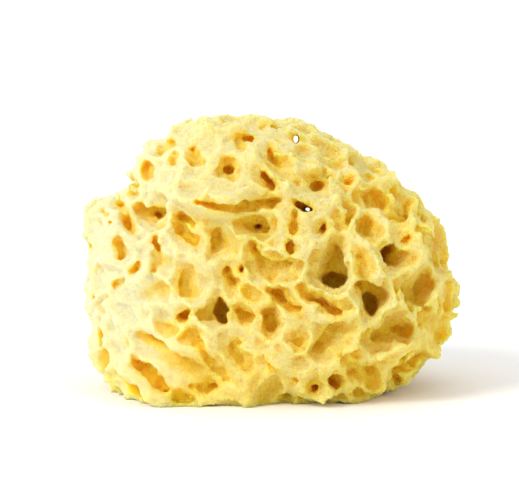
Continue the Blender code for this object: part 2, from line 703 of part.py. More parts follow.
def drop_crumbs(bm):
    """Keeps the largest connected body: an opening can leave a crumb or a sealed pore."""
    seen = set()
    islands = []
    for vert in bm.verts:
        if vert in seen:
            continue
        seen.add(vert)
        island = [vert]
        for current in island:
            for edge in current.link_edges:
                other = edge.other_vert(current)
                if other not in seen:
                    seen.add(other)
                    island.append(other)
        islands.append(island)
    islands.sort(key=len)
    crumbs = [vert for island in islands[:-1] for vert in island]
    bmesh.ops.delete(bm, geom=crumbs, context="VERTS")


def sponge_material():
    """The pale yellow of the sponge's skin."""
    material = bpy.data.materials.new("sponge")
    material.use_nodes = True
    shader = material.node_tree.nodes["Principled BSDF"]
    shader.inputs["Base Color"].default_value = CREAM
    shader.inputs["Roughness"].default_value = ROUGHNESS
    shader.inputs["Metallic"].default_value = 0.0
    return material


def main():
    """Builds the sponge."""
    clear_scene()
    noise.seed_set(SEED)
    scene = bpy.context.scene
    helpers = bpy.data.collections.new("helpers")
    helpers.hide_render = True
    scene.collection.children.link(helpers)
    cutters = bpy.data.collections.new("cutters")
    helpers.children.link(cutters)

    body_mesh = make_body()
    cutter_meshes, cells = find_cells(body_mesh)
    for cutter in cutter_meshes:
        to_metres(cutter)
        add_helper(cutter.name, cutter, cutters)
    dish_skin(body_mesh, cells)
    to_metres(body_mesh)
    carved = add_helper("carved", carve(add_helper("body", body_mesh, helpers), cutters), helpers)

    bm = bmesh.new()
    bm.from_mesh(facet(carved))
    drop_crumbs(bm)
    cut_base(bm)
    drop_crumbs(bm)
    mesh = bpy.data.meshes.new("sponge")
    bm.to_mesh(mesh)
    bm.free()
    mesh.shade_smooth()
    mesh.materials.append(sponge_material())
    scene.collection.objects.link(bpy.data.objects.new("sponge", mesh))


if __name__ == "__main__":
    main()
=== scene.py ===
"""The looks of a honeycomb sea sponge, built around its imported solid.

The sponge is one mass. Its outline is the one seen from the front. Its skin is folded, dished
into cells with a thin crest between two, and eaten away by openings. The openings of the front
are placed one by one, and those of the other sides are scattered at the same density. The
lengths of the sponge are in millimetres until it is finished, and the studio's are in metres.
Seen from the front, "across" runs to the right and "up" runs up, both from a point on the
sponge's middle axis that lies a little below the cut.
"""

import json
import logging
import math
import random
from dataclasses import dataclass, field
from enum import Enum
from typing import Iterator, NamedTuple

import bmesh
import bpy
import numpy as np
from mathutils import Matrix, Vector, noise
from mathutils.bvhtree import BVHTree
from mathutils.kdtree import KDTree

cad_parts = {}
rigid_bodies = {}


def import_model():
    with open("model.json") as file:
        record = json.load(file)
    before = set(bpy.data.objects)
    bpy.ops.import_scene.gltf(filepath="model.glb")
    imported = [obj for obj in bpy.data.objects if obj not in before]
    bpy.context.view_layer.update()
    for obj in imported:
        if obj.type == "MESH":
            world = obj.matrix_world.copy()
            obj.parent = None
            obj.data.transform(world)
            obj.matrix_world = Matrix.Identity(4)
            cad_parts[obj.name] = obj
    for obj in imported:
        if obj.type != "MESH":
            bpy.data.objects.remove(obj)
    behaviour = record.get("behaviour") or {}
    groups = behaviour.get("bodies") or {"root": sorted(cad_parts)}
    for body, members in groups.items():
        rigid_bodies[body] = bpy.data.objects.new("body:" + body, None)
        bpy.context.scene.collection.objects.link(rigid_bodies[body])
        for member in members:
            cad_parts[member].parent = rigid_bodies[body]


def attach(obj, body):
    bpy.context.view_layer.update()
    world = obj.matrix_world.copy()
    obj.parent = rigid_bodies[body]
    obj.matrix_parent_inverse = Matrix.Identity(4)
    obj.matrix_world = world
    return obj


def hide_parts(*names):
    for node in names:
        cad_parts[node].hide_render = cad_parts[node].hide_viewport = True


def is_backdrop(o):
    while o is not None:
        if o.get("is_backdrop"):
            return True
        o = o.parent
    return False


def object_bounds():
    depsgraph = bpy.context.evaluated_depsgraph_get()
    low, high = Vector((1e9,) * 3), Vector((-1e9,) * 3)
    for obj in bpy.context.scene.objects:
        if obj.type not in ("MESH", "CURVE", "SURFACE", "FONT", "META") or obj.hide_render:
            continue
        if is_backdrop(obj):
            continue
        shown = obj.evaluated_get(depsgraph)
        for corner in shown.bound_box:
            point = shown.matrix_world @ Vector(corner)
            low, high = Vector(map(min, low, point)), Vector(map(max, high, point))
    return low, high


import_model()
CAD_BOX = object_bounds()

LOG = logging.getLogger("sponge")
MM = 0.001
SEED = 11
BODY = "root"
NODE = "sponge"
# The mesh layer of how open each point is to the light, which the colour turns into painted shade and painted
# light
OPENNESS = "openness"
RIGHT_CHANGE = 70.0
Colour = tuple[float, float, float, float]
Socket = bpy.types.NodeSocket


class Opening(NamedTuple):
    """One opening of the front.

    rim is its edge as the eye sees it. deep is how far its end lies below the dished skin,
    start how far in it begins, floor the size of its end beside its rim, and drift how far
    the end lies to the side.
    """

    rim: list[tuple[float, float]]
    deep: float
    start: float = 0.0
    floor: float = 0.5
    drift: tuple[float, float] = (0.0, 0.0)


class Fold(NamedTuple):
    """A crest of the front, or a valley where its height is negative.

    It fades over gentle on the left of its path, and over steep on the right.
    """

    path: list[tuple[float, float]]
    height: float
    gentle: float
    steep: float


class Swell(NamedTuple):
    """A broad lobe of the front, or a hollow where its height is negative."""

    across: float
    up: float
    reach: float
    height: float


class Calm(NamedTuple):
    """A place of the front where the cells are shallow: only that share of their depth is left."""

    across: float
    up: float
    reach: float
    share: float


class Cell(NamedTuple):
    """A dish of the skin. It is sunk by its depth at its spots, and rises over run to the next cell."""

    spots: list[Vector]
    depth: float
    run: float


class Sum(Enum):
    """The ways in which a material puts two values together."""

    ADDED = "ADD"
    MULTIPLIED = "MULTIPLY"
    LARGER = "MAXIMUM"


# The outline seen from the front, anticlockwise from the lower right
OUTLINE = [
    (34, -7), (44, 2), (48, 6), (53, 8), (51, 10), (57.5, 9), (60.5, 13), (65.5, 18), (65, 22), (67.5, 21),
    (71.5, 25), (71, 32), (74, 45), (71, 51), (72, 57), (70.5, 63), (68.5, 67), (64, 74), (57, 81),
    (54, 82), (51, 86), (48.5, 90), (46, 90.5), (45, 93.5), (41, 95), (36.5, 96), (35, 94), (33, 98),
    (30, 100.5), (26, 102.5), (17, 108), (8, 111), (4.5, 109), (-1.5, 110.5), (-10, 111), (-20.5, 112),
    (-28.5, 111.5), (-36.5, 108.5), (-40, 103), (-45, 101), (-49.5, 103), (-53, 97), (-53.5, 91),
    (-58, 90), (-55.5, 87), (-54.5, 85), (-59, 83.5), (-65, 79.5), (-72.5, 79), (-73, 67), (-71.5, 63),
    (-74, 58), (-73, 51), (-74.5, 43), (-72, 31), (-71, 26.5), (-73, 24.5), (-71, 19.5), (-68.5, 13),
    (-65, 7.5), (-63, 2), (-58, -5), (-40, -8), (0, -9),
]

SWELLS = [
    Swell(-20, 93, 20, 5.0),
    Swell(-8, 74, 12, -3.5),
    Swell(-24, 70, 12, 2.0),
    Swell(-62, 66, 13, 3.0),
    Swell(-44, 22, 20, 4.0),
    Swell(-8, 44, 15, -2.5),
    Swell(38, 44, 26, 5.0),
    Swell(14, 86, 12, 2.0),
    Swell(66, 60, 9, -4.0),
]

FOLDS = [
    # The edge of the upper lobe, and the valley under it
    Fold([(-35, 82), (-28, 79.5), (-21, 78), (-14, 78), (-11, 80)], 7.0, 12, 1.2),
    Fold([(-27, 75.5), (-18, 74), (-9, 74.5), (0, 78)], -4.0, 2.5, 5.5),
    # The frills of the left side
    Fold([(-62, 65), (-59, 68), (-59, 73), (-60, 77)], 3.0, 9, 1.5),
    Fold([(-53, 65), (-55.5, 68), (-57, 74), (-52.5, 78)], 3.0, 2.5, 2.0),
    Fold([(-55, 80.5), (-50, 77.5), (-43, 77)], 2.5, 6, 1.5),
    Fold([(-49, 48), (-46, 45), (-42, 44), (-38, 40.5)], 2.0, 9, 1.5),
    # The grooves of the lower left
    Fold([(-46, 31), (-37, 26.5), (-27, 19.5), (-21, 14)], -6.5, 1.3, 3.5),
    Fold([(-58, 15.5), (-51.5, 11), (-43.5, 7), (-35, 0.5), (-30, -3)], -6.5, 1.3, 3.0),
    # The blades of the lower left
    Fold([(-56.5, 16), (-48, 12.5), (-37.5, 4.5), (-30.5, 0), (-23.5, -3)], 4.0, 10, 1.8),
    Fold([(-66, 18.5), (-57, 12), (-50.5, 6.5), (-44, 2), (-39, 0)], 3.0, 3, 2.5),
    Fold([(-36.5, 28.5), (-30.5, 27), (-24.5, 21.5), (-19, 16.5), (-12, 10.5), (-7, 3), (-1, -2)], 3.5, 5, 2),
    Fold([(-19, 4.5), (-22, 9.5), (-28, 15), (-36, 18), (-40, 22.5), (-49, 22.5)], 3.0, 10, 1.8),
    # The lower right
    Fold([(1, -3), (10, 1), (14, 4.5), (16.5, 8), (22.5, 10), (27.5, 10.5)], 3.0, 9, 1.8),
    Fold([(29.5, 8), (34, 4.5), (38, 4.5), (43, 7), (47.5, 9)], 2.0, 4, 2.0),
    # The edge of the flap on the right
    Fold([(69, 49), (62.5, 54.5), (59, 58.5), (56.5, 66), (54, 74)], 4.5, 7, 1.8),
    Fold([(72, 50), (66, 56), (62, 60), (59.5, 67), (57, 75)], -4.0, 1.5, 5),
]

OPENINGS = [
    # The upper lobe
    Opening([(-30.5, 100), (-27, 97), (-26, 93), (-28.5, 91.5), (-33, 92.5), (-34.5, 96)], 6, drift=(1, 1)),
    Opening([(-11.5, 104), (-9, 105), (-6, 103.5), (-7.5, 102), (-10.5, 102)], 7),
    Opening([(-13.5, 104.5), (-11, 103.5), (-10, 100), (-11.5, 96.5), (-14, 100)], 2.5),
    Opening(
        [(-21.5, 92.5), (-17.5, 95.5), (-12.5, 94), (-11.5, 90.5),
         (-13.5, 86), (-17.5, 86), (-21.5, 88.5)],
        3, floor=0.65,
    ),
    Opening([(-19.5, 91.5), (-17, 92.5), (-14, 90.5), (-15.5, 88.5), (-18.5, 88.5)], 12, start=4),
    Opening([(-1.5, 101.5), (0.5, 99.5), (1.5, 96), (5, 92.5), (2.5, 91.5), (-1, 94), (-2, 98)], 9),
    Opening([(-5, 90.5), (-1, 88.5), (1.5, 85), (2.5, 82.5), (0, 82), (-3, 86)], 10),
    Opening([(-45, 101), (-38, 102), (-38, 100), (-42, 98.5), (-44.5, 96.5)], 4, drift=(0, -1)),
    Opening([(-51, 94), (-46.5, 92), (-46.5, 86), (-51, 88)], 2.5),
    # The hollow under the upper lobe
    Opening(
        [(-31, 78.5), (-24, 77.5), (-17, 77), (-10, 78), (-3, 79), (3, 79),
         (1, 76), (-6, 74), (-14, 73.5), (-22, 74.5), (-28, 76.5)],
        4, floor=0.7, drift=(0, 1),
    ),
    # The middle
    Opening(
        [(-12, 70), (-8, 71), (-4.5, 69.5), (1, 69), (0, 66.5), (-2, 65), (-7, 66), (-11.5, 66.5)],
        6, drift=(2, 0),
    ),
    Opening(
        [(-25.5, 67), (-24, 66), (-20.5, 68.5), (-17.5, 63.5),
         (-16, 61), (-16.5, 58), (-24, 58), (-24, 62.5)],
        8, drift=(-1, 1),
    ),
    Opening(
        [(-19, 51), (-18, 53), (-16, 51.5), (-14, 47.5), (-12.5, 45),
         (-15, 42), (-16, 44.5), (-18.5, 48)],
        8,
    ),
    Opening(
        [(-9.5, 62), (-7, 62), (-2, 55), (9, 53), (8.5, 51),
         (4.5, 48.5), (0, 45.5), (-3, 47), (-7, 56)],
        7, floor=0.55, drift=(-1, 0),
    ),
    Opening(
        [(7.5, 64), (9.5, 62.5), (11.5, 59), (10.5, 57), (8, 56.5), (6, 58), (5, 61)],
        7, drift=(-2, 0),
    ),
    Opening([(8.5, 74), (11, 73.5), (11.5, 68.5), (10.5, 64.5), (7.5, 64.5), (8, 69)], 3.5),
    Opening([(8, 79.5), (11.5, 78), (16, 76), (17, 74.5), (14, 73.5), (10.5, 74.5), (9, 76)], 14),
    Opening(
        [(-1, 42.5), (1, 44), (3.5, 42.5), (6, 39.5), (9, 37), (13, 35),
         (12, 33.5), (8.5, 33.5), (5.5, 36), (2.5, 39.5)],
        8, drift=(-1, 1),
    ),
    Opening(
        [(-20, 40.5), (-18.5, 37.5), (-16, 34), (-18, 33), (-17, 29.5),
         (-19, 28.5), (-22, 30.5), (-23, 34), (-22, 37.5)],
        18, start=5,
    ),
    Opening([(-31, 34.5), (-26.5, 36), (-22, 38.5), (-21.5, 34), (-22, 30), (-27.5, 29.5), (-30, 32)], 7),
    Opening(
        [(-13.5, 35), (-12, 36), (-9.5, 34), (-5.5, 33), (-7, 31), (-9, 29), (-11.5, 29), (-13.5, 31)],
        7, drift=(0, 1.5),
    ),
    Opening(
        [(-3.5, 34), (-0.5, 35), (2.5, 33.5), (4.5, 30), (4.5, 27.5),
         (1.5, 25.5), (-1.5, 25.5), (-4, 29.5)],
        9, drift=(-1, 1),
    ),
    Opening(
        [(-17.5, 23), (-14.5, 22), (-12.5, 19), (-10, 13), (-12.5, 12.5), (-16, 16.5), (-17.5, 19.5)],
        3,
    ),
    Opening([(8, 23), (10.5, 24), (13.5, 23), (13.5, 21), (11.5, 19.5), (9, 20.5)], 3.5),
    # The left side
    Opening(
        [(-54, 77), (-49.5, 76.5), (-44.5, 75.5), (-42, 74), (-42.5, 71),
         (-46, 69), (-49.5, 69.5), (-53.5, 72)],
        9, drift=(3, 0.5),
    ),
    Opening([(-46.5, 74), (-42, 74), (-42.5, 71.5), (-45.5, 71)], 14, start=6),
    Opening([(-39.5, 72), (-36.5, 74), (-31, 70), (-30.5, 67.5), (-34.5, 69)], 9),
    Opening(
        [(-40, 70), (-36, 70.5), (-32.5, 67.5), (-27.5, 62.5), (-29, 59.5), (-33, 62), (-37.5, 65.5)],
        7,
    ),
    Opening([(-47, 64), (-44.5, 63.5), (-43.5, 58), (-45.5, 57.5), (-47, 60.5)], 8),
    Opening([(-47.5, 57.5), (-43.5, 57.5), (-43, 53), (-45, 49.5), (-47.5, 50)], 3),
    Opening(
        [(-62.5, 63.5), (-59, 63.5), (-58, 59.5), (-57.5, 56), (-60, 54), (-62, 57.5)],
        5, drift=(-0.5, -1.5),
    ),
    Opening([(-60.5, 48), (-59, 47.5), (-59, 44.5), (-62.5, 43), (-64, 44.5)], 2.5),
    Opening(
        [(-34.5, 53), (-31, 52), (-30, 48), (-29, 43), (-29.5, 39.5),
         (-32.5, 39), (-37.5, 40.5), (-36.5, 46), (-36, 50)],
        8, drift=(-1.5, -1.5),
    ),
    Opening(
        [(-62, 77), (-59.5, 78), (-57, 74), (-56, 69.5), (-53.5, 65.5),
         (-55.5, 64.5), (-59, 68), (-59, 73)],
        6,
    ),
    Opening([(-72, 69.5), (-67.5, 68.5), (-68.5, 64.5), (-72, 65)], 2),
    # The lower edge
    Opening([(-37.5, 33), (-33, 35), (-32, 32.5), (-34.5, 29), (-37, 30)], 10),
    Opening([(-37, 24), (-35, 27), (-30.5, 27), (-27, 22.5), (-26, 18.5), (-30.5, 19.5), (-36, 21.5)], 4),
    Opening(
        [(-28.5, 19.5), (-25.5, 17.5), (-20.5, 13), (-15.5, 7.5), (-19, 5.5), (-23.5, 11), (-28, 15.5)],
        4,
    ),
    Opening([(-45.5, 30), (-39.5, 29), (-37.5, 27), (-38.5, 23.5), (-44.5, 24.5)], 2.5),
    Opening(
        [(-56, 16), (-53.5, 14.5), (-47, 12), (-42.5, 6.5), (-39.5, 2.5),
         (-43.5, 1.5), (-48, 5.5), (-54.5, 11)],
        5, drift=(0, 0.5),
    ),
    Opening([(-39, 2), (-36.5, 2.5), (-29.5, -1.5), (-39.5, -2)], 3),
    Opening([(-33.5, 4.5), (-27.5, 5.5), (-22, 5), (-25, 1.5), (-29.5, 2.5)], 2),
    Opening([(-59, 7.5), (-56, 6.5), (-51.5, 2.5), (-56.5, 1.5), (-59.5, 4.5)], 2),
    Opening([(23.5, 8), (27, 8.5), (27.5, 4), (25, 3), (23.5, 5.5)], 9),
    Opening([(-4, 5), (-1, 5), (1, 2.5), (-1.5, 1.5), (-3.5, 3)], 1.5),
    # The right side
    Opening(
        [(23, 27), (26, 29.5), (31, 29), (31, 26), (27, 23.5), (24.5, 19.5),
         (19.5, 16), (16.5, 16.5), (17.5, 20), (19.5, 23)],
        6, drift=(-2, 1),
    ),
    Opening(
        [(40, 25), (42, 26), (46, 31), (48, 33.5), (51.5, 33.5), (55.5, 30.5),
         (56.5, 26), (55, 21), (49.5, 21.5), (43.5, 21), (41, 20)],
        8, drift=(-3, -1),
    ),
    Opening([(30.5, 13), (36, 12.5), (41, 12), (41.5, 10), (39, 6), (34, 6.5), (30, 9)], 4, floor=0.6),
    Opening(
        [(55, 14.5), (60, 18), (62.5, 16.5), (59.5, 13), (54.5, 10), (48, 9.5), (47, 11), (51.5, 12.5)],
        5,
    ),
    Opening([(48, 9.5), (51, 9), (53, 5), (48.5, 4.5)], 6),
    Opening([(60, 32.5), (66, 33), (70.5, 31), (71.5, 26), (67.5, 21), (64, 23), (61, 27)], 5),
    Opening(
        [(20.5, 57), (22.5, 60.5), (25, 61.5), (28, 60), (30, 53), (31, 48),
         (30, 45), (25.5, 42.5), (21, 44.5), (18.5, 49), (19.5, 53)],
        13, drift=(0, -3), floor=0.7,
    ),
    Opening(
        [(20, 46.5), (23.5, 50), (28, 49), (31, 47.5), (29, 44), (25, 43), (21.5, 44)],
        21, start=10, floor=0.6,
    ),
    Opening(
        [(33.5, 45), (38, 46), (44, 43.5), (47, 39.5), (46, 36.5),
         (43, 34), (40.5, 31.5), (38, 32.5), (36.5, 37.5)],
        12, drift=(-1, -1), floor=0.7,
    ),
    Opening(
        [(36, 41), (38.5, 42), (42, 40), (43, 36.5), (42, 33.5), (40, 31.5), (38, 34), (36.5, 37.5)],
        20, start=8, floor=0.6,
    ),
    Opening(
        [(44, 56.5), (46, 60), (49, 61), (51, 59), (54, 57.5),
         (55.5, 55), (53.5, 52), (50, 51.5), (46, 53)],
        10, drift=(-3, 0),
    ),
    Opening(
        [(44.5, 56.5), (46, 60), (49.5, 61), (49.5, 58.5), (48.5, 55), (48, 52), (46, 53.5)],
        22, start=6, drift=(-3, 0),
    ),
    Opening(
        [(51.5, 45.5), (54, 47.5), (59.5, 49.5), (61.5, 52), (63, 51), (64.5, 46.5), (65.5, 43.5),
         (64, 39.5), (61, 35.5), (57.5, 36.5), (54, 39.5), (51.5, 42.5)],
        9, drift=(-4, -2),
    ),
    Opening(
        [(13.5, 41.5), (19.5, 40.5), (24.5, 37.5), (28, 36), (31, 34.5),
         (28, 32.5), (24.5, 32.5), (19.5, 36.5), (13.5, 38.5)],
        9, drift=(2, 0),
    ),
    Opening([(34.5, 58), (38, 57.5), (39.5, 51), (38.5, 47), (34.5, 48)], 2.5),
    Opening([(68, 40), (70.5, 47.5), (74, 47.5), (73, 40.5), (70.5, 32.5), (68.5, 36)], 4),
    Opening(
        [(59.5, 65.5), (63, 65.5), (68.5, 58.5), (71.5, 55), (69.5, 49),
         (65.5, 50), (62.5, 54.5), (59.5, 56.5)],
        5, floor=0.6,
    ),
    Opening([(51.5, 64), (55, 65.5), (56, 63), (54, 60.5), (52, 60.5)], 3),
    Opening([(12, 99), (14, 100), (16, 96), (15.5, 93), (14, 94)], 3),
    Opening([(15, 84), (17.5, 86), (21, 85.5), (21, 83), (18, 81), (15.5, 82.5)], 11, start=3),
    Opening([(15.5, 86.5), (17.5, 90), (22, 91.5), (23, 87.5), (22, 83), (20, 81), (15.5, 82)], 3),
    Opening([(36, 93), (38, 95.5), (45, 93), (45, 90.5), (40, 88.5), (35.5, 90.5)], 3),
    Opening(
        [(36, 81), (39.5, 83), (44, 82), (47, 78), (46.5, 73.5), (41, 74.5), (37, 77)],
        8, drift=(-2, 0),
    ),
    Opening([(44.5, 73), (49, 76.5), (54, 76.5), (54.5, 71.5), (53, 69.5), (48.5, 70.5)], 7, drift=(2, -2)),
    Opening([(29, 70), (29.5, 74), (31.5, 74.5), (33, 72), (33, 69.5), (31, 68.5)], 8),
    Opening([(33.5, 69), (37, 72), (41, 69), (41, 65.5), (38, 64), (35, 65.5)], 5.5, drift=(-1, -1)),
]

# The small and narrow ones
SMALL_OPENINGS = [
    # The upper lobe
    Opening([(-32.4, 81.4), (-25.6, 80), (-21.4, 78.4), (-25, 76.8), (-28.8, 78.4)], 6, drift=(0, 4)),
    Opening([(-40.6, 97.8), (-37.8, 97.2), (-37.8, 93.2), (-39.2, 92.6)], 6),
    Opening([(-36, 107.2), (-31, 106.8), (-33.4, 104.4)], 2.5),
    Opening([(-8, 108.8), (-1.6, 108.4), (-4.8, 105.8), (-7.6, 106.2)], 2),
    Opening([(-20, 110.4), (-14, 111.6), (-16.4, 109.4), (-19, 108.8)], 2),
    Opening([(-3.6, 77.4), (-3.2, 78.4), (-0.6, 78.2), (0, 77.4), (-1.8, 76.4)], 6),
    Opening([(0, 78.4), (1.4, 79.8), (4.2, 80), (2.8, 78.2)], 5),
    # The middle
    Opening([(-6.8, 68.2), (-4.8, 69.2), (-3.4, 68.4), (-5.2, 66.4)], 13, start=5),
    Opening([(-13, 52.6), (-12.2, 53.6), (-11, 51.8), (-10.6, 49.6), (-12.2, 49)], 10, start=3),
    Opening([(1.2, 61.6), (2.4, 62.4), (4, 61.6), (3.4, 60.4), (1.4, 60.6)], 3),
    Opening([(-10.2, 42.4), (-7.2, 41.4), (-3.2, 39.4), (-3.8, 37.8), (-7, 38.4), (-9, 40.6)], 4),
    Opening([(-14.4, 22.6), (-13, 23.4), (-11.2, 21.6), (-12.2, 20.4), (-13.6, 21)], 8),
    Opening([(2.6, 18.6), (4, 18), (6.2, 17.2), (5.6, 16), (3.8, 16.4)], 3),
    Opening([(5.2, 19), (6, 19.2), (7.4, 18), (6, 18)], 8, start=3),
    # The left side
    Opening([(-36.2, 64.2), (-33.6, 63.4), (-29, 60.8), (-29.8, 59.6), (-34, 62)], 13, start=5),
    Opening([(-56.8, 48.6), (-55.8, 50.8), (-50.8, 55.8), (-50, 55), (-53.8, 50)], 4),
    Opening([(-30.8, 53.2), (-29.6, 50.8), (-30.2, 50.6)], 5),
    Opening([(-69.8, 76.4), (-68.8, 75.4), (-63.2, 68.6), (-65.6, 71)], 4),
    Opening([(-55, 80.6), (-53.4, 80.2), (-49.6, 75.8), (-52, 77.2)], 4),
    Opening([(-61.2, 34.2), (-56.2, 36.8), (-55.2, 35.6), (-59, 33.6)], 3),
    Opening([(-53, 25.4), (-52, 26.6), (-51.2, 25.2), (-52, 24.2)], 4),
    # The lower edge
    Opening([(-25.8, 20.4), (-24.6, 21), (-21.6, 18), (-23.6, 18)], 10, start=4),
    Opening([(-30.4, 10.2), (-29.2, 11.2), (-28.4, 9.8), (-30, 9.2)], 3),
    Opening([(9.8, 14), (10.8, 14.6), (13.2, 12.8), (11.4, 12), (10.2, 12.4)], 8),
    Opening([(8.4, 5.6), (9.6, 6.8), (12.6, 7), (11.2, 5.4), (9, 4.8)], 7),
    Opening([(15.6, 3.2), (17.6, 4), (19.8, 3.4), (19, 2.2), (17, 2)], 8),
    # The right side
    Opening([(54.4, 20.2), (56, 20.4), (56.2, 19.2), (54.8, 18.8)], 5),
    Opening([(31.2, 14), (36.2, 13.2), (35.8, 12.2), (32.8, 12.4)], 9, start=3),
    Opening([(43.2, 12.8), (44.4, 13.4), (46.2, 11.8), (46.8, 10.2), (45.2, 10.2)], 9),
    Opening([(62.4, 23.2), (65, 22.8), (65.2, 20.2), (64, 18.4), (62.4, 21.2)], 7),
    Opening([(26.6, 1), (30.6, 1.8), (33.6, 0.8), (29.6, 0.4)], 5),
    Opening(
        [(51.4, 43.2), (54.2, 42.2), (58, 39.6), (61.2, 35.8), (58.4, 36.6), (54.2, 39.2)],
        14, start=5,
    ),
    Opening([(17, 102), (19.4, 101.6), (21.8, 99.6), (24.2, 97.6), (21.8, 97), (19.4, 99.2)], 6),
    Opening([(34, 91.8), (36, 90.6), (40.2, 88.2), (40.8, 86.4), (37.8, 87.2), (34.8, 89.4)], 8, start=3),
    Opening([(58.2, 72.2), (59.4, 69.8), (59.2, 63.2), (57.8, 65.6)], 5),
    Opening([(-40.8, 98.4), (-38, 97.2), (-37.6, 93), (-39.2, 93.4)], 3),
    Opening([(-45, 101.8), (-38, 102.6), (-38.8, 99.4), (-43.4, 98.6)], 2.5, floor=0.7),
    Opening([(-51.4, 92), (-47.2, 92.2), (-46.6, 86.6), (-50, 86)], 2, floor=0.7),
    Opening([(-69.5, 76), (-67, 75), (-62.5, 68.6), (-64.5, 69)], 2.5, floor=0.6),
]

# The places where the cells are shallow
CALMS = [
    Calm(-20, 95, 20, 0.15),
    Calm(-60, 42, 20, 0.10),
    Calm(-47, 24, 18, 0.15),
    Calm(-62, 66, 10, 0.80),
    Calm(-5, 106, 12, 0.40),
    Calm(-25, 4, 18, 0.30),
]

# The holes that go right through
TUNNELS = [
    Opening(
        [(8.6, 102.6), (9.4, 104.6), (10.8, 104.4), (11.2, 102), (10.2, 100.8), (9, 101)],
        120, start=60, floor=0.9,
    ),
    Opening([(13, 74), (14.2, 75.8), (16.2, 75.2), (15.4, 73.4)], 140, start=70, floor=0.9),
]


def any_direction(draw: random.Random) -> Vector:
    """A random direction.

    Args:
        draw: the source of chance.

    Returns:
        A vector of some length, in any direction.
    """
    return Vector((draw.gauss(0, 1), draw.gauss(0, 1), draw.gauss(0, 1)))


def even_directions(count: int, draw: random.Random) -> list[Vector]:
    """Directions spread evenly over every side, in a random order.

    Args:
        count: how many.
        draw: the source of chance.

    Returns:
        The directions, of length one.
    """
    golden = math.pi * (3 - math.sqrt(5))
    directions = []
    for index in range(count):
        height = 1 - 2 * (index + 0.5) / count
        ring = math.sqrt(1 - height * height)
        directions.append(Vector((ring * math.cos(golden * index), ring * math.sin(golden * index), height)))
    draw.shuffle(directions)
    return directions


def smooth_loop(corners: list[Vector], steps: int) -> list[Vector]:
    """A closed curve through the corners, with points added between them.

    Args:
        corners: the corners in order.
        steps: how many pieces each side becomes.

    Returns:
        The points of the curve.
    """
    count = len(corners)
    loop = []
    for index in range(count):
        before, start, end, after = (corners[(index + step) % count] for step in (-1, 0, 1, 2))
        for step in range(steps):
            t = step / steps
            loop.append(
                (start * 2 + (end - before) * t + (before * 2 - start * 5 + end * 4 - after) * t**2
                 + (start * 3 - before - end * 3 + after) * t**3) * 0.5
            )
    return loop


def rightness(across: float) -> float:
    """How far a point lies to the right, where the ridges are broad, and not to the left.

    Args:
        across: its place across the front.

    Returns:
        Nought at the left and one at the right.
    """
    return min(1.0, max(0.0, 0.5 + across / RIGHT_CHANGE))


def calm_at(point: Vector) -> float:
    """How far the cells are kept shallow at a point.

    Args:
        point: the point.

    Returns:
        The share of their depth that is left.
    """
    if point.y > 0:
        return 1.0
    share = 1.0
    for calm in CALMS:
        squared = (point.x - calm.across) ** 2 + (point.z - calm.up) ** 2
        share = min(share, 1 - (1 - calm.share) * math.exp(-squared / calm.reach**2))
    return share


def bvh_of(mesh: bpy.types.Mesh) -> BVHTree:
    """A search tree of a mesh.

    Args:
        mesh: the mesh.

    Returns:
        The tree of its faces.
    """
    bm = bmesh.new()
    bm.from_mesh(mesh)
    tree = BVHTree.FromBMesh(bm)
    bm.free()
    return tree


def select_only(piece: bpy.types.Object) -> None:
    """Makes one object the selected and active one.

    Args:
        piece: the object.
    """
    bpy.ops.object.select_all(action="DESELECT")
    piece.select_set(True)
    bpy.context.view_layer.objects.active = piece


def apply_modifier(piece: bpy.types.Object, name: str) -> None:
    """Applies one modifier of an object.

    Args:
        piece: the object.
        name: the modifier's name.
    """
    select_only(piece)
    bpy.ops.object.modifier_apply(modifier=name)


@dataclass(frozen=True)
class Eye:
    """Where the front is seen from, with lengths in the plane through the sponge's middle."""

    elevation: float = math.radians(6.0)
    distance: float = 800.0
    across: float = -4.6
    up: float = 62.4
    frame_width: float = 207.6

    def sideways(self) -> Vector:
        """The direction to the right."""
        return Vector((1, 0, 0))

    def upwards(self) -> Vector:
        """The direction up in the view."""
        return Vector((0, math.sin(self.elevation), math.cos(self.elevation)))

    def sight(self) -> Vector:
        """The direction into the view."""
        return Vector((0, math.cos(self.elevation), -math.sin(self.elevation)))

    def place(self) -> Vector:
        """The eye itself."""
        return self.in_view(self.across, self.up) - self.sight() * self.distance

    def in_view(self, across: float, up: float) -> Vector:
        """A point of the plane through the sponge's middle.

        Args:
            across: how far it is to the right.
            up: how far up it is.

        Returns:
            The point.
        """
        return self.sideways() * across + self.upwards() * up


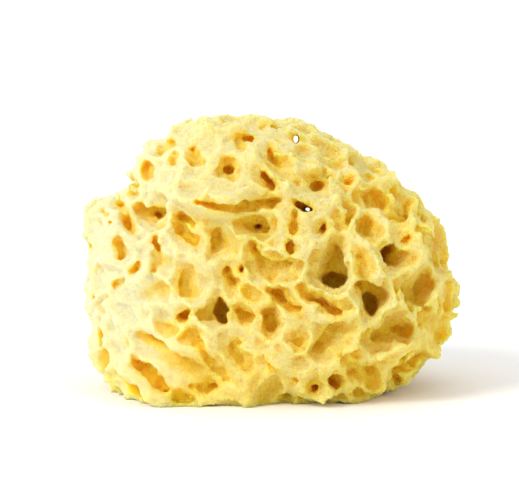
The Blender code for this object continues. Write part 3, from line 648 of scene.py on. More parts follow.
@dataclass
class Mass:
    """The rounded body before its openings, with its folds and lobes."""

    half_depth_front: float = 52.0
    half_depth_back: float = 56.0
    centre_up: float = 50.0
    fullness: float = 2.35
    subdivisions: int = 8
    outline_steps: int = 720
    outline_blur: int = 14
    outline_band: float = 0.35
    outline_sunk: float = 1.0
    outline_inset: float = 0.5
    lumps: tuple[tuple[float, float], ...] = ((1.3, 17.0), (0.6, 7.0))
    blades: tuple[tuple[float, float], ...] = ((4.5, 14.0), (1.8, 6.5))
    blade_stretch: float = 2.4
    blade_grain: Vector = field(default_factory=lambda: Vector((0.82, 0.0, -0.57)))

    def centre(self) -> Vector:
        """The middle of the body."""
        return Vector((0, 0, self.centre_up))

    def skin_points(self, directions: np.ndarray) -> np.ndarray:
        """Where the plain body's skin is.

        Args:
            directions: one row for each direction from its middle.

        Returns:
            One row for each point of the skin.
        """
        outline = [(across, up - self.centre_up) for across, up in OUTLINE]
        polar = sorted((math.atan2(up, across) % math.tau, math.hypot(up, across)) for across, up in outline)
        angles = [angle for angle, _ in polar]
        reaches = [reach for _, reach in polar]
        turn = np.linspace(0, math.tau, self.outline_steps, endpoint=False)
        drawn = np.interp(turn, angles, reaches, period=math.tau)
        shifts = range(-self.outline_blur, self.outline_blur + 1)
        smoothed = np.mean([np.roll(drawn, shift) for shift in shifts], axis=0) - self.outline_sunk
        drawn = drawn - self.outline_inset
        across, forward, up = directions.T
        angle = np.arctan2(up, across) % math.tau
        at_outline = np.exp(-((forward / self.outline_band) ** 2))
        reach = np.interp(angle, turn, smoothed, period=math.tau)
        reach += at_outline * (np.interp(angle, turn, drawn, period=math.tau) - reach)
        half_depth = np.where(forward < 0, self.half_depth_front, self.half_depth_back)
        power = self.fullness
        fill = (np.hypot(across, up) ** power + np.abs(forward) ** power) ** (-1 / power)
        points = np.stack([across * reach, forward * half_depth, up * reach], axis=1) * fill[:, None]
        return points + (0, 0, self.centre_up)

    def fold_heights(self, spots: np.ndarray, fold: Fold) -> np.ndarray:
        """How far a fold raises the front.

        Args:
            spots: rows of across and up.
            fold: the fold.

        Returns:
            The height at each spot.
        """
        nearest = np.full(len(spots), np.inf)
        side = np.zeros(len(spots))
        for first, second in zip(fold.path, fold.path[1:]):
            start, along = np.array(first), np.subtract(second, first)
            share = np.clip((spots - start) @ along / (along @ along), 0, 1)
            offset = spots - start - share[:, None] * along
            distance = np.hypot(offset[:, 0], offset[:, 1])
            cross = along[0] * offset[:, 1] - along[1] * offset[:, 0]
            side = np.where(distance < nearest, cross, side)
            nearest = np.minimum(nearest, distance)
        fade = np.where(side >= 0, fold.gentle, fold.steep)
        return fold.height * np.exp(-nearest / fade)

    def front_heights(self, spots: np.ndarray) -> np.ndarray:
        """How far the lobes and the folds raise the front.

        Args:
            spots: rows of across and up.

        Returns:
            The height at each spot.
        """
        height = sum(self.fold_heights(spots, fold) for fold in FOLDS)
        for swell in SWELLS:
            squared = (spots[:, 0] - swell.across) ** 2 + (spots[:, 1] - swell.up) ** 2
            height = height + swell.height * np.exp(-squared / swell.reach**2)
        return height

    def lump_at(self, point: Vector, lumps: tuple[tuple[float, float], ...]) -> float:
        """The skin's unevenness at a point.

        Args:
            point: the point.
            lumps: how far the skin moves, and over what length, for each size of lump.

        Returns:
            How far it stands out.
        """
        return sum(height * noise.noise(point / span) for height, span in lumps)

    def blade_at(self, point: Vector) -> float:
        """The height of the sharp folds at a point. They are long where it lies to the left.

        Args:
            point: the point.

        Returns:
            How far it stands out.
        """
        stretch = self.blade_stretch + (1 - self.blade_stretch) * rightness(point.x)
        along = point.dot(self.blade_grain)
        squeezed = point + self.blade_grain * along * (1 / stretch - 1)
        return sum(
            height * max(0.0, 1 - 2 * abs(noise.noise(squeezed / span))) ** 2 - height * 0.35
            for height, span in self.blades
        )

    def build(self) -> bpy.types.Object:
        """Inflates a ball to the folded body.

        Returns:
            The body, in millimetres.
        """
        bpy.ops.mesh.primitive_ico_sphere_add(subdivisions=self.subdivisions, radius=1, location=(0, 0, 0))
        body = bpy.context.active_object
        body.name = "body"
        count = len(body.data.vertices)
        directions = np.empty(count * 3)
        body.data.vertices.foreach_get("co", directions)
        directions = directions.reshape(-1, 3)
        directions /= np.linalg.norm(directions, axis=1)[:, None]
        points = self.skin_points(directions)
        facing = np.clip((0.15 - directions[:, 1]) / 0.5, 0, 1)
        push = directions - (0, 1, 0) * facing[:, None]
        push /= np.linalg.norm(push, axis=1)[:, None]
        points += push * (self.front_heights(points[:, [0, 2]]) * facing)[:, None]
        lumps = np.array([self.lump_at(Vector(point), self.lumps) for point in points])
        blades = np.array([self.blade_at(Vector(point)) for point in points])
        off_outline = np.clip(np.abs(directions[:, 1]) / 0.4, 0, 1)
        points += directions * (lumps + blades * off_outline)[:, None]
        body.data.vertices.foreach_set("co", points.ravel())
        body.data.update()
        return body


@dataclass
class Canals:
    """Every opening and every cell of the skin, measured on the body before it is dished."""

    eye: Eye
    mass: Mass
    skin: BVHTree
    draw: random.Random
    dish_least: float = 1.3
    dish_share: float = 0.35
    left_share: float = 0.6
    right_share: float = 0.85
    inner_share: float = 0.7
    inner_torn: float = 0.2
    run_left: float = 2.8
    run_right: float = 1.3
    hollow_run: float = 4.4
    rim_smoothing: int = 4
    mouth_flare: float = 1.25
    rim_flare: float = 1.06
    sight_share: float = 0.55
    most_skew: float = 14.0
    rise: float = 7.0
    taper: tuple[tuple[float, float], ...] = ((0.35, 0.9), (0.75, 0.6), (0.95, 0.2), (1.0, -0.3))
    scatter: tuple[tuple[float, int], ...] = (
        (10.5, 300), (8.5, 600), (7.0, 900), (5.6, 1500), (4.4, 2200), (3.0, 2600)
    )
    scatter_spots: int = 2600
    scatter_rim_points: int = 7
    wall: float = 2.0
    front_facing: float = 0.30
    base_clear: float = 12.0
    hollow_radius: float = 4.4
    hollow_gap: float = 3.6
    hollow_depths: tuple[float, float] = (3.0, 6.0)
    right_calm: float = 0.6
    hollow_half_lengths: tuple[float, float] = (0.5, 5.0)
    blades_below: float = 45.0
    pit_chance: float = 0.6
    pit_widths: tuple[float, float] = (1.6, 3.4)
    ragged: tuple[tuple[float, float], ...] = ((1.6, 3.6), (1.1, 1.7))
    edge_front: float = -15.0
    edge_up: float = 9.0

    def tear_at(self, spot: Vector) -> Vector:
        """How the torn fibres move a point of a tube.

        Args:
            spot: the point.

        Returns:
            The move.
        """
        return sum((noise.noise_vector(spot / span) * reach for reach, span in self.ragged), Vector())

    def tube(
        self,
        rim: list[Vector],
        line: Vector,
        inward: Vector,
        begin: float,
        deep: float,
        floor: float,
        drift: Vector,
        torn: float = 1.0,
    ) -> bpy.types.Mesh:
        """A closed tube through a rim, from outside the skin to its end.

        Args:
            rim: the rim's points on the skin.
            line: the direction in which it enters.
            inward: the direction in which it goes on.
            begin: how far in it has its full width.
            deep: how far its end lies beyond that.
            floor: the size of its end beside its rim.
            drift: how far its end lies to the side.
            torn: how torn its wall is: one as most are, nought for a smooth one.

        Returns:
            The tube's mesh, with its faces outwards.
        """
        middle = sum(rim, Vector()) / len(rim)
        stations = [(-line * self.rise, self.mouth_flare), (Vector(), self.rim_flare), (line * begin, 1.0)]
        for share, size in self.taper:
            stations.append((line * begin + (inward * deep + drift) * share, floor + (1 - floor) * size))
        bm = bmesh.new()
        loops = []
        for shift, size in stations:
            spots = [middle + (spot - middle) * size + shift for spot in rim]
            loops.append([bm.verts.new(spot + self.tear_at(spot) * torn) for spot in spots])
        for upper, lower in zip(loops, loops[1:]):
            for side in range(len(rim)):
                after = (side + 1) % len(rim)
                bm.faces.new((upper[side], lower[side], lower[after], upper[after]))
        bm.faces.new(loops[0])
        bm.faces.new(loops[-1][::-1])
        bmesh.ops.triangulate(bm, faces=bm.faces)
        if bm.calc_volume(signed=True) < 0:
            bmesh.ops.reverse_faces(bm, faces=bm.faces)
        mesh = bpy.data.meshes.new("tube")
        bm.to_mesh(mesh)
        bm.free()
        return mesh

    def dish_of(self, rim: list[Vector]) -> float:
        """How far an opening dishes the skin.

        Args:
            rim: its rim.

        Returns:
            The depth: wide ones dish it more.
        """
        middle = sum(rim, Vector()) / len(rim)
        radius = sum((spot - middle).length for spot in rim) / len(rim)
        return min(self.dish_least, 0.8 * radius) + self.dish_share * radius

    def front(self) -> Iterator[tuple[bpy.types.Mesh, Cell]]:
        """The openings of the front, laid on the skin along the line of sight.

        Yields:
            The tube and the cell of each.
        """
        place = self.eye.place()
        for opening in OPENINGS + SMALL_OPENINGS:
            targets = [self.eye.in_view(across, up) for across, up in opening.rim]
            middle = sum(targets, Vector()) / len(targets)
            line = (middle - place).normalized()
            _, normal, _, depth = self.skin.ray_cast(place, line)
            rim = []
            for target in smooth_loop(targets, self.rim_smoothing):
                sight = (target - place).normalized()
                _, _, _, far = self.skin.ray_cast(place, sight)
                far = depth if far is None else max(depth - self.most_skew, min(depth + self.most_skew, far))
                rim.append(place + sight * far)
            sight_share = 1.0 if opening.start else self.sight_share
            inward = (line * sight_share - normal * (1 - sight_share)).normalized()
            drift = self.eye.in_view(*opening.drift)
            begin = self.dish_of(rim) + opening.start
            share = self.left_share + (self.right_share - self.left_share) * rightness(middle.x)
            torn = 1.0
            if opening.start:
                share *= self.inner_share
                torn = self.inner_torn
            tube = self.tube(rim, line, inward, begin, opening.deep * share, opening.floor, drift, torn)
            run = self.run_left + (self.run_right - self.run_left) * rightness(middle.x)
            yield tube, Cell([] if opening.start else rim, self.dish_of(rim), run)

    def ring(self, mouth: Vector, wide: Vector, tall: Vector, length: float, width: float) -> list[Vector]:
        """An uneven rim round a point of the skin.

        Args:
            mouth: its middle.
            wide: the direction of its length.
            tall: the direction of its width.
            length: its length.
            width: its width.

        Returns:
            The rim's points.
        """
        corners = []
        for index in range(self.scatter_rim_points):
            angle = math.tau * (index + self.draw.uniform(-0.25, 0.25)) / self.scatter_rim_points
            size = self.draw.uniform(0.8, 1.2) / 2
            aside = wide * (math.cos(angle) * length) + tall * (math.sin(angle) * width)
            corners.append(mouth + aside * size)
        return smooth_loop(corners, self.rim_smoothing)

    def scattered(self, taken: list[tuple[Vector, float]]) -> Iterator[tuple[bpy.types.Mesh, Cell]]:
        """The openings of every side that the front view doesn't show, widest first.

        Args:
            taken: the middle and the radius of each opening so far, which grows.

        Yields:
            The tube and the cell of each.
        """
        place = self.eye.place()
        directions = even_directions(self.scatter_spots, self.draw)
        for width, tries in self.scatter:
            for direction in directions[:tries]:
                mouth, normal, _, _ = self.skin.ray_cast(self.mass.centre(), direction)
                length = width * self.draw.uniform(1.0, 1.9)
                radius = (length + width) / 4
                seen = normal.dot((place - mouth).normalized()) > self.front_facing
                under = mouth.z < 0 and math.hypot(mouth.x, mouth.y) < self.base_clear
                under = under or (mouth.z < self.edge_up and mouth.y < self.edge_front)
                crowded = any((mouth - other).length < radius + size + self.wall for other, size in taken)
                if seen or under or crowded:
                    continue
                taken.append((mouth, radius))
                wide = normal.cross(any_direction(self.draw)).normalized()
                tall = normal.cross(wide)
                rim = self.ring(mouth, wide, tall, length, width)
                drift = wide * self.draw.uniform(-3, 3) + tall * self.draw.uniform(-3, 3)
                dish = self.dish_of(rim)
                deep = width * self.draw.uniform(0.7, 1.7)
                tube = self.tube(rim, -normal, -normal, dish, deep, self.draw.uniform(0.4, 0.8), drift)
                yield tube, Cell(rim, dish, self.draw.uniform(self.run_right, self.run_left))

    def hollows(self, taken: list[tuple[Vector, float]]) -> Iterator[tuple[bpy.types.Mesh | None, Cell]]:
        """The cells that fill the skin between the openings. Some have a small pit in their bottom.

        Args:
            taken: the middle and the radius of each opening so far, which grows.

        Yields:
            The pit's tube, if there is one, and the cell of each.
        """
        for direction in even_directions(self.scatter_spots, self.draw):
            mouth, normal, _, _ = self.skin.ray_cast(self.mass.centre(), direction)
            if any((mouth - other).length < size + self.hollow_gap for other, size in taken):
                continue
            taken.append((mouth, self.hollow_radius))
            in_blades = mouth.x < 0 and mouth.y < 0 and mouth.z < self.blades_below
            grain = self.mass.blade_grain if in_blades else any_direction(self.draw)
            along = (grain - normal * grain.dot(normal)).normalized()
            reach = self.draw.uniform(*self.hollow_half_lengths)
            depth = self.draw.uniform(*self.hollow_depths)
            if mouth.y < 0:
                depth *= 1 - self.right_calm * rightness(mouth.x)
            pit = None
            if self.draw.random() < self.pit_chance * calm_at(mouth):
                width = self.draw.uniform(*self.pit_widths)
                rim = self.ring(mouth, along, normal.cross(along), width * 1.5, width)
                pit = self.tube(rim, -normal, -normal, depth, width * 1.6, 0.6, Vector())
            yield pit, Cell([mouth - along * reach, mouth, mouth + along * reach], depth, self.hollow_run)

    def tunnels(self) -> Iterator[bpy.types.Mesh]:
        """The two holes that go right through, along the line of sight.

        Yields:
            The tube of each.
        """
        place = self.eye.place()
        for opening in TUNNELS:
            targets = [self.eye.in_view(across, up) for across, up in opening.rim]
            middle = sum(targets, Vector()) / len(targets)
            line = (middle - place).normalized()
            rim = [target - line * opening.start for target in smooth_loop(targets, self.rim_smoothing)]
            yield self.tube(rim, line, line, 0.0, opening.deep, opening.floor, Vector(), self.inner_torn)

    def all(self) -> tuple[list[bpy.types.Mesh], list[Cell]]:
        """Every tube and every cell.

        Returns:
            The tubes' meshes, and the cells.
        """
        made = list(self.front())
        taken = []
        for _, cell in made:
            if cell.spots:
                middle = sum(cell.spots, Vector()) / len(cell.spots)
                taken.append((middle, max((spot - middle).length for spot in cell.spots)))
        made += self.scattered(taken)
        made += self.hollows(taken)
        tubes = [tube for tube, _ in made if tube] + list(self.tunnels())
        return tubes, [cell for _, cell in made]


@dataclass
class Graph:
    """The nodes of one material."""

    tree: bpy.types.NodeTree

    def node(self, kind: str, inputs: dict[str | int, float | Socket]) -> bpy.types.Node:
        """Adds a node.

        Args:
            kind: its type.
            inputs: what goes into it, by the name or the number of the socket.

        Returns:
            The node.
        """
        node = self.tree.nodes.new(kind)
        for name, value in inputs.items():
            if isinstance(value, float):
                node.inputs[name].default_value = value
            else:
                self.tree.links.new(value, node.inputs[name])
        return node

    def place(self) -> Socket:
        """The point of the piece, in its own space."""
        return self.node("ShaderNodeTexCoord", {}).outputs["Object"]

    def layer(self, name: str) -> Socket:
        """A layer of the mesh.

        Args:
            name: the layer's name.

        Returns:
            Its value.
        """
        node = self.node("ShaderNodeAttribute", {})
        node.attribute_name = name
        return node.outputs["Fac"]

    def combine(self, first: Socket, how: Sum, second: Socket) -> Socket:
        """Puts two values together.

        Args:
            first: the first value.
            how: the way.
            second: the second value.

        Returns:
            The result, kept between nought and one.
        """
        node = self.node("ShaderNodeMath", {0: first, 1: second})
        node.operation = how.value
        node.use_clamp = True
        return node.outputs[0]

    def spread(
        self, value: Socket, low: float, high: float, to_low: float = 0.0, to_high: float = 1.0
    ) -> Socket:
        """Moves a value from one range to another, and keeps it there.

        Args:
            value: the value.
            low: the start of its range.
            high: the end of its range.
            to_low: what the start becomes.
            to_high: what the end becomes.

        Returns:
            The moved value.
        """
        ends = {"From Min": low, "From Max": high, "To Min": to_low, "To Max": to_high}
        return self.node("ShaderNodeMapRange", {"Value": value, **ends}).outputs["Result"]

    def cloud(self, scale: float, detail: float) -> Socket:
        """Soft noise in the piece's own space.

        Args:
            scale: how many lumps there are in a metre.
            detail: how many finer sizes it has.

        Returns:
            The noise.
        """
        inputs = {"Vector": self.place(), "Scale": scale, "Detail": detail}
        return self.node("ShaderNodeTexNoise", inputs).outputs["Fac"]

    def dots(self, scale: float) -> Socket:
        """The distance to the nearest of points strewn through the piece's own space.

        Args:
            scale: how many points there are in a metre.

        Returns:
            The distance, as a share of their spacing.
        """
        inputs = {"Vector": self.place(), "Scale": scale}
        return self.node("ShaderNodeTexVoronoi", inputs).outputs["Distance"]


@dataclass(frozen=True)
class SpongeFinish:
    """Soft dry spongin: cream on the crests, golden in the pits, pricked with pores on the right; the gold
    and brown of the pits and the dark pores are painted shade.
    """

    # A pale tone for the open surfaces of the left: partly the sponge's own paler colour, partly painted
    # light from the lamp's side
    pale_tone_and_painted_light: Colour = (0.765, 0.72, 0.42, 1.0)
    # The ramp from the open crests to the deepest holes: the darker gold, ochre and brown of the recesses are
    # painted shade
    cream: Colour = (0.765, 0.675, 0.31, 1.0)
    pale: Colour = (0.87, 0.69, 0.165, 1.0)
    gold: Colour = (0.98, 0.64, 0.035, 1.0)
    ochre: Colour = (0.99, 0.54, 0.01, 1.0)
    brown: Colour = (0.98, 0.30, 0.006, 1.0)
    roughness: float = 0.92
    glow: float = 1.0
    glow_reach: float = 0.0055
    glow_spread: tuple[float, float, float] = (1.0, 0.78, 0.25)
    sheen: float = 0.1
    # Paler towards the left, partly painted light and partly own tone; more golden towards the right, partly
    # painted shade on the side away from the lamp and partly own tone; and more golden towards the foot
    left_paler: float = 0.08
    right_share: float = 0.90
    foot_share: float = 0.86
    pore_scale: float = 800.0
    speck_scale: float = 1600.0
    fibre_scale: float = 1100.0
    mottle_scale: float = 55.0
    grain_height: float = 0.002
    grain_strength: float = 0.8
    left_grain_strength: float = 0.35

    def openness(self, graph: Graph, across: Socket, up: Socket, pores: Socket) -> Socket:
        """How open to the light each point seems, which the colour paints as shade, with mottles and fibres
        of the sponge's own tone, and pores darkened as painted shade.

        Args:
            graph: the material's nodes.
            across: the place across the front.
            up: the height.
            pores: nought in each pore.

        Returns:
            Nought in the deepest hole and one on a crest.
        """
        # Painted shade in the pores: the pores and specks lower the openness, so they show as dark dots,
        # except on the smooth left
        porous = graph.spread(pores, 0.0, 1.0, 0.74, 1.0)
        specks = graph.spread(graph.dots(self.speck_scale), 0.15, 0.50, 0.82, 1.0)
        mottle = graph.spread(graph.cloud(self.mottle_scale, 3.0), 0.3, 0.7, -0.03, 0.04)
        fibre = graph.spread(graph.cloud(self.fibre_scale, 4.0), 0.3, 0.7, -0.02, 0.03)
        pricked = graph.combine(porous, Sum.MULTIPLIED, specks)
        smooth_left = graph.spread(across, -0.04, 0.03, 1.0, 0.0)
        pricked = graph.combine(pricked, Sum.LARGER, smooth_left)
        openness = graph.combine(graph.layer(OPENNESS), Sum.ADDED, mottle)
        openness = graph.combine(openness, Sum.ADDED, fibre)
        # Paler towards the left: partly painted light from the lamp's side, partly the sponge's own paler
        # tone
        openness = graph.combine(openness, Sum.ADDED, graph.spread(across, 0.0, -0.06, 0.0, self.left_paler))
        # More golden towards the right, partly painted shade on the side away from the lamp and partly the
        # sponge's own tone, and more golden towards the foot
        golden_right = graph.spread(across, 0.035, 0.075, 1.0, self.right_share)
        golden_foot = graph.spread(up, 0.0, 0.035, self.foot_share, 1.0)
        golden = graph.combine(golden_right, Sum.MULTIPLIED, golden_foot)
        openness = graph.combine(openness, Sum.MULTIPLIED, golden)
        return graph.combine(openness, Sum.MULTIPLIED, pricked)

    def colour(self, graph: Graph, across: Socket, openness: Socket) -> Socket:
        """The colour of each point, with painted shade: cream where it is open, and gold, ochre and brown
        deeper in the recesses.

        Args:
            graph: the material's nodes.
            across: the place across the front.
            openness: how open to the light it seems.

        Returns:
            The colour.
        """
        # Painted shade: the less open a point is, the darker and browner its colour
        ramp = graph.node("ShaderNodeValToRGB", {"Fac": openness})
        stops = ramp.color_ramp.elements
        stops[0].position = 0.06
        stops[0].color = self.brown
        stops[1].position = 0.97
        stops[1].color = self.cream
        for position, colour in ((0.30, self.ochre), (0.56, self.gold), (0.80, self.pale)):
            stops.new(position).color = colour
        # The open surfaces of the left get the pale tone: partly the sponge's own, partly painted light
        left = graph.spread(across, -0.015, -0.06, 0.0, 0.95)
        sunlit = graph.combine(left, Sum.MULTIPLIED, graph.spread(openness, 0.80, 1.0))
        paling_and_painted_light = graph.node("ShaderNodeMix", {})
        paling_and_painted_light.data_type = "RGBA"
        graph.tree.links.new(sunlit, paling_and_painted_light.inputs["Factor"])
        graph.tree.links.new(ramp.outputs["Color"], paling_and_painted_light.inputs["A"])
        paling_and_painted_light.inputs["B"].default_value = self.pale_tone_and_painted_light
        return paling_and_painted_light.outputs["Result"]

    def grain(self, graph: Graph, across: Socket, pores: Socket) -> Socket:
        """The fine relief of the fibres and the pores.

        Args:
            graph: the material's nodes.
            across: the place across the front.
            pores: nought in each pore.

        Returns:
            The tilted normal.
        """
        fibre = graph.spread(graph.cloud(self.fibre_scale, 5.0), 0.2, 0.8, 0.0, 0.4)
        height = graph.combine(graph.spread(pores, 0.0, 1.0, 0.0, 0.6), Sum.ADDED, fibre)
        bump = graph.node("ShaderNodeBump", {"Height": height})
        strength = graph.spread(across, -0.05, 0.01, self.left_grain_strength, self.grain_strength)
        graph.tree.links.new(strength, bump.inputs["Strength"])
        bump.inputs["Distance"].default_value = self.grain_height
        return bump.outputs["Normal"]

    def material(self) -> bpy.types.Material:
        """Builds the material.

        Returns:
            The material, which reads the mesh's own layer and Object coordinates.
        """
        material = bpy.data.materials.new("spongin")
        material.use_nodes = True
        shader = material.node_tree.nodes["Principled BSDF"]
        graph = Graph(material.node_tree)
        parts = graph.node("ShaderNodeSeparateXYZ", {"Vector": graph.place()}).outputs
        across, up = parts["X"], parts["Z"]
        pores = graph.spread(graph.dots(self.pore_scale), 0.14, 0.40)
        openness = self.openness(graph, across, up, pores)
        graph.tree.links.new(self.colour(graph, across, openness), shader.inputs["Base Color"])
        graph.tree.links.new(self.grain(graph, across, pores), shader.inputs["Normal"])
        shader.inputs["Roughness"].default_value = self.roughness
        shader.inputs["Specular IOR Level"].default_value = 0.2
        shader.inputs["Subsurface Weight"].default_value = self.glow
        shader.inputs["Subsurface Radius"].default_value = self.glow_spread
        shader.inputs["Subsurface Scale"].default_value = self.glow_reach
        shader.inputs["Sheen Weight"].default_value = self.sheen
        shader.inputs["Sheen Roughness"].default_value = 0.5
        return material


@dataclass
class Sponge:
    """The sponge itself, as one fine mesh."""

    eye: Eye = field(default_factory=Eye)
    mass: Mass = field(default_factory=Mass)
    finish: SpongeFinish = field(default_factory=SpongeFinish)
    cut_up: float = 4.0
    neighbours: int = 40
    wander: tuple[tuple[float, float], ...] = ((1.4, 7.0), (0.8, 2.6))
    crest_left: float = 0.1
    crest_right: float = 0.8
    crest_change: float = 0.9
    crest_change_span: float = 11.0
    fold_guard: float = 2.0
    junction_rise: float = 0.15
    voxel: float = 0.75
    smoothing_rounds: int = 1
    grain: tuple[tuple[float, float], ...] = ((0.5, 2.4), (0.45, 1.2))
    most_triangles: int = 192000
    # The rays that measure the painted shade of the recesses
    openness_rays: int = 24
    openness_reach: float = 16.0
    openness_blur: int = 2
    # Painted light: slopes that face the sunny side, where the key lamp hangs, are made paler and the others
    # more golden, partly as the sponge's own paler side
    sunny_side: Vector = field(default_factory=lambda: Vector((-0.60, -0.51, 0.62)))
    usual_facing: float = 0.45
    paling_and_painted_light: float = 0.16

    def kept_folds(self, points: np.ndarray) -> np.ndarray:
        """How much the cells may eat of the skin: nothing on the crest of a fold.

        Args:
            points: one row for each point.

        Returns:
            The share for each.
        """
        guard = np.zeros(len(points))
        for fold in FOLDS:
            if fold.height > 0:
                plain = Fold(fold.path, 1.0, self.fold_guard, self.fold_guard)
                near = self.mass.fold_heights(points[:, [0, 2]], plain)
                guard = np.maximum(guard, near)
        return np.where(points[:, 1] < 0, 1 - guard, 1.0)

    def dish(self, body: bpy.types.Object, cells: list[Cell]) -> None:
        """Sinks the skin into each cell, and leaves a crest where two meet.

        Args:
            body: the body.
            cells: the cells.
        """
        tree = KDTree(sum(len(cell.spots) for cell in cells))
        owners = []
        for owner, cell in enumerate(cells):
            for spot in cell.spots:
                tree.insert(spot, len(owners))
                owners.append(owner)
        tree.balance()
        count = len(body.data.vertices)
        points = np.empty(count * 3)
        body.data.vertices.foreach_get("co", points)
        kept = self.kept_folds(points.reshape(-1, 3))
        sinks = np.zeros(count)
        for index, vert in enumerate(body.data.vertices):
            spot = vert.co.copy()
            for reach, span in self.wander:
                spot += noise.noise_vector(vert.co / span) * reach
            found = tree.find_n(spot, self.neighbours)
            nearest = found[0][2]
            cell = cells[owners[found[0][1]]]
            others = (distance for _, other, distance in found if owners[other] != owners[found[0][1]])
            second = next(others, found[-1][2])
            right = rightness(vert.co.x)
            crest = self.crest_left + (self.crest_right - self.crest_left) * right
            crest += self.crest_change * noise.noise(vert.co / self.crest_change_span)
            to_crest = min(1.0, max(0.0, (second - nearest) / 2 - crest) / cell.run)
            bowl = to_crest * (2 - to_crest)
            sink = cell.depth * bowl * kept[index] - self.junction_rise * nearest
            sinks[index] = sink * calm_at(vert.co)
        normals = np.empty(count * 3)
        body.data.vertices.foreach_get("normal", normals)
        points -= normals * np.repeat(sinks, 3)
        body.data.vertices.foreach_set("co", points)
        body.data.update()

    def carve(self, body: bpy.types.Object, tubes: list[bpy.types.Mesh]) -> None:
        """Cuts the openings out of the body, and gives it an even surface.

        Args:
            body: the body.
            tubes: the tubes to take away.
        """
        cutters = bpy.data.collections.new("tubes")
        bpy.context.scene.collection.children.link(cutters)
        for tube in tubes:
            cutters.objects.link(bpy.data.objects.new("tube", tube))
        holes = body.modifiers.new("openings", "BOOLEAN")
        holes.operation = "DIFFERENCE"
        holes.operand_type = "COLLECTION"
        holes.collection = cutters
        holes.solver = "MANIFOLD"
        apply_modifier(body, holes.name)
        for cutter in list(cutters.objects):
            bpy.data.objects.remove(cutter)
        bpy.data.collections.remove(cutters)
        even = body.modifiers.new("even", "REMESH")
        even.mode = "VOXEL"
        even.voxel_size = self.voxel
        apply_modifier(body, even.name)
        soft = body.modifiers.new("soft", "SMOOTH")
        soft.factor = 0.5
        soft.iterations = self.smoothing_rounds
        apply_modifier(body, soft.name)

    def roughen(self, body: bpy.types.Object) -> None:
        """Gives the skin its fine unevenness.

        Args:
            body: the body.
        """
        count = len(body.data.vertices)
        points = np.empty(count * 3)
        body.data.vertices.foreach_get("co", points)
        normals = np.empty(count * 3)
        body.data.vertices.foreach_get("normal", normals)
        heights = [self.mass.lump_at(vert.co, self.grain) for vert in body.data.vertices]
        points += normals * np.repeat(heights, 3)
        body.data.vertices.foreach_set("co", points)
        body.data.update()

    def thin(self, body: bpy.types.Object) -> None:
        """Leaves the faces where the surface bends.

        Args:
            body: the body.
        """
        fewer = body.modifiers.new("fewer", "DECIMATE")
        fewer.ratio = min(1.0, self.most_triangles / (2 * len(body.data.polygons)))
        fewer.use_collapse_triangulate = True
        apply_modifier(body, fewer.name)

    def cut(self, body: bpy.types.Object) -> None:
        """Cuts the sponge flat at the height of the rock, and leaves only its one whole piece.

        Args:
            body: the body.
        """
        bm = bmesh.new()
        bm.from_mesh(body.data)
        cut = bmesh.ops.bisect_plane(
            bm,
            geom=bm.verts[:] + bm.edges[:] + bm.faces[:],
            dist=0.02,
            plane_co=(0, 0, self.cut_up),
            plane_no=(0, 0, -1),
            use_snap_center=True,
            clear_outer=True,
        )
        rim = [part for part in cut["geom_cut"] if isinstance(part, bmesh.types.BMEdge)]
        bmesh.ops.triangle_fill(bm, edges=rim, use_beauty=True, normal=(0, 0, -1))
        bmesh.ops.triangulate(bm, faces=bm.faces)
        seen = set()
        islands = []
        for vert in bm.verts:
            if vert in seen:
                continue
            seen.add(vert)
            island = [vert]
            for current in island:
                for edge in current.link_edges:
                    other = edge.other_vert(current)
                    if other not in seen:
                        seen.add(other)
                        island.append(other)
            islands.append(island)
        islands.sort(key=len)
        crumbs = [vert for island in islands[:-1] for vert in island]
        bmesh.ops.delete(bm, geom=crumbs, context="VERTS")
        bm.to_mesh(body.data)
        bm.free()

    def measure(self, body: bpy.types.Object) -> None:
        """Writes how open to the light each point is: the share of short rays that get out, which the colour
        turns into painted shade in the recesses, with painted light added on the slopes that face the sunny
        side.

        Args:
            body: the finished body, in millimetres.
        """
        tree = bvh_of(body.data)
        directions = even_directions(self.openness_rays, random.Random(SEED))
        openness = np.empty(len(body.data.vertices))
        for index, vert in enumerate(body.data.vertices):
            # Painted shade: the fewer short rays get out, the lower the openness and the browner the colour
            start = vert.co + vert.normal * 0.25
            reached = 0.0
            for direction in directions:
                ray = (direction + vert.normal * 1.05).normalized()
                _, _, _, far = tree.ray_cast(start, ray, self.openness_reach)
                reached += 1.0 if far is None else far / self.openness_reach
            # Painted light: paler where the normal faces the sunny side, more golden where it faces away
            facing = max(vert.normal.dot(self.sunny_side), 0.0)
            openness[index] = reached / len(directions) + self.paling_and_painted_light * (facing - self.usual_facing)
        ends = np.empty(len(body.data.edges) * 2, dtype=int)
        body.data.edges.foreach_get("vertices", ends)
        first, second = ends.reshape(-1, 2).T
        for _ in range(self.openness_blur):
            total, count = openness.copy(), np.ones(len(openness))
            for one, other in ((first, second), (second, first)):
                np.add.at(total, one, openness[other])
                np.add.at(count, one, 1)
            openness = total / count
        layer = body.data.attributes.new(OPENNESS, "FLOAT", "POINT")
        layer.data.foreach_set("value", openness)

    def build(self) -> bpy.types.Object:
        """Builds the sponge in place of its solid.

        Returns:
            The finished piece.
        """
        body = self.mass.build()
        skin = bvh_of(body.data)
        canals = Canals(self.eye, self.mass, skin, random.Random(SEED))
        tubes, cells = canals.all()
        LOG.info("body: %d openings, %d cells", len(tubes), len(cells))
        self.dish(body, cells)
        self.carve(body, tubes)
        self.roughen(body)
        self.thin(body)
        self.cut(body)
        self.measure(body)
        body.data.transform(Matrix.Scale(MM, 4) @ Matrix.Translation((0, 0, -self.cut_up)))
        body.data.shade_smooth()
        body.name = "sponge_skin"
        body.data.name = "sponge_skin"
        body.data.materials.clear()
        body.data.materials.append(self.finish.material())
        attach(body, BODY)
        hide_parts(NODE)
        return body


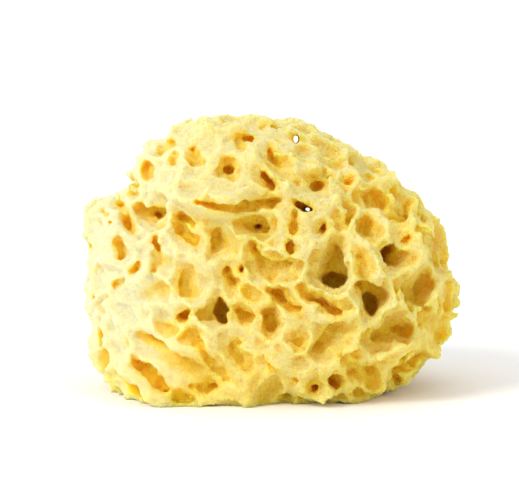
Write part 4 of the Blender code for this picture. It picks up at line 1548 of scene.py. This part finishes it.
@dataclass(frozen=True)
class Studio:
    """The white floor, the soft light and the camera."""

    eye: Eye
    lowered: float
    floor_size: float = 60.0
    sky: float = 0.95
    backdrop: float = 1.05
    key_strength: float = 1.5
    key_softness: float = math.radians(22.0)
    key_from: tuple[float, float, float] = (-0.68, -0.58, 0.70)

    def floor(self) -> bpy.types.Object:
        """Lays the floor.

        Returns:
            The floor.
        """
        bpy.ops.mesh.primitive_plane_add(size=self.floor_size, location=(0, 0, 0))
        floor = bpy.context.active_object
        floor.name = "floor"
        material = bpy.data.materials.new("white_paper")
        material.use_nodes = True
        shader = material.node_tree.nodes["Principled BSDF"]
        shader.inputs["Base Color"].default_value = (0.98, 0.98, 0.98, 1.0)
        shader.inputs["Roughness"].default_value = 0.9
        shader.inputs["Specular IOR Level"].default_value = 0.0
        floor.data.materials.append(material)
        floor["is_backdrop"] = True
        return floor

    def key(self) -> bpy.types.Object:
        """Hangs the soft lamp at the upper left of the front.

        Returns:
            The lamp.
        """
        turn = (-Vector(self.key_from)).to_track_quat("-Z", "Y").to_euler()
        bpy.ops.object.light_add(type="SUN", location=self.key_from, rotation=turn)
        lamp = bpy.context.active_object
        lamp.name = "key"
        lamp.data.energy = self.key_strength
        lamp.data.angle = self.key_softness
        return lamp

    def white_sky(self) -> bpy.types.World:
        """Makes the even sky, which is plain white where it is the backdrop.

        Returns:
            The world.
        """
        world = bpy.data.worlds.new("white_sky")
        world.use_nodes = True
        nodes = world.node_tree.nodes
        links = world.node_tree.links
        seen = nodes.new("ShaderNodeLightPath")
        mix = nodes.new("ShaderNodeMapRange")
        mix.inputs["To Min"].default_value = self.sky
        mix.inputs["To Max"].default_value = self.backdrop
        links.new(seen.outputs["Is Camera Ray"], mix.inputs["Value"])
        links.new(mix.outputs["Result"], nodes["Background"].inputs["Strength"])
        nodes["Background"].inputs["Color"].default_value = (1.0, 1.0, 1.0, 1.0)
        return world

    def camera(self) -> bpy.types.Object:
        """Sets up the camera at the photograph's angle.

        Returns:
            The camera.
        """
        place = (self.eye.place() - Vector((0, 0, self.lowered))) * MM
        turn = self.eye.sight().to_track_quat("-Z", "Y").to_euler()
        bpy.ops.object.camera_add(location=place, rotation=turn)
        camera = bpy.context.active_object
        camera.data.sensor_width = 36.0
        camera.data.lens = camera.data.sensor_width * self.eye.distance / self.eye.frame_width
        bpy.context.scene.camera = camera
        return camera

    def build(self) -> None:
        """Sets up the floor, the lamps, the sky and the camera."""
        self.floor()
        self.key()
        bpy.context.scene.world = self.white_sky()
        bpy.context.scene.view_settings.view_transform = "Standard"
        self.camera()


def write_size() -> None:
    """Measures the solid's box and the finished model's box."""
    boxes = {"cad": CAD_BOX, "visual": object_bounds()}
    plain = {name: [list(corner) for corner in box] for name, box in boxes.items()}


def main() -> None:
    """Builds the sponge and its studio."""
    logging.basicConfig(level=logging.INFO, format="%(name)s: %(message)s")
    noise.seed_set(SEED)
    bpy.ops.object.select_all(action="DESELECT")
    sponge = Sponge()
    skin = sponge.build()
    LOG.info("sponge_skin: %d triangles", len(skin.data.polygons))
    Studio(sponge.eye, sponge.cut_up).build()
    write_size()


if __name__ == "__main__":
    main()
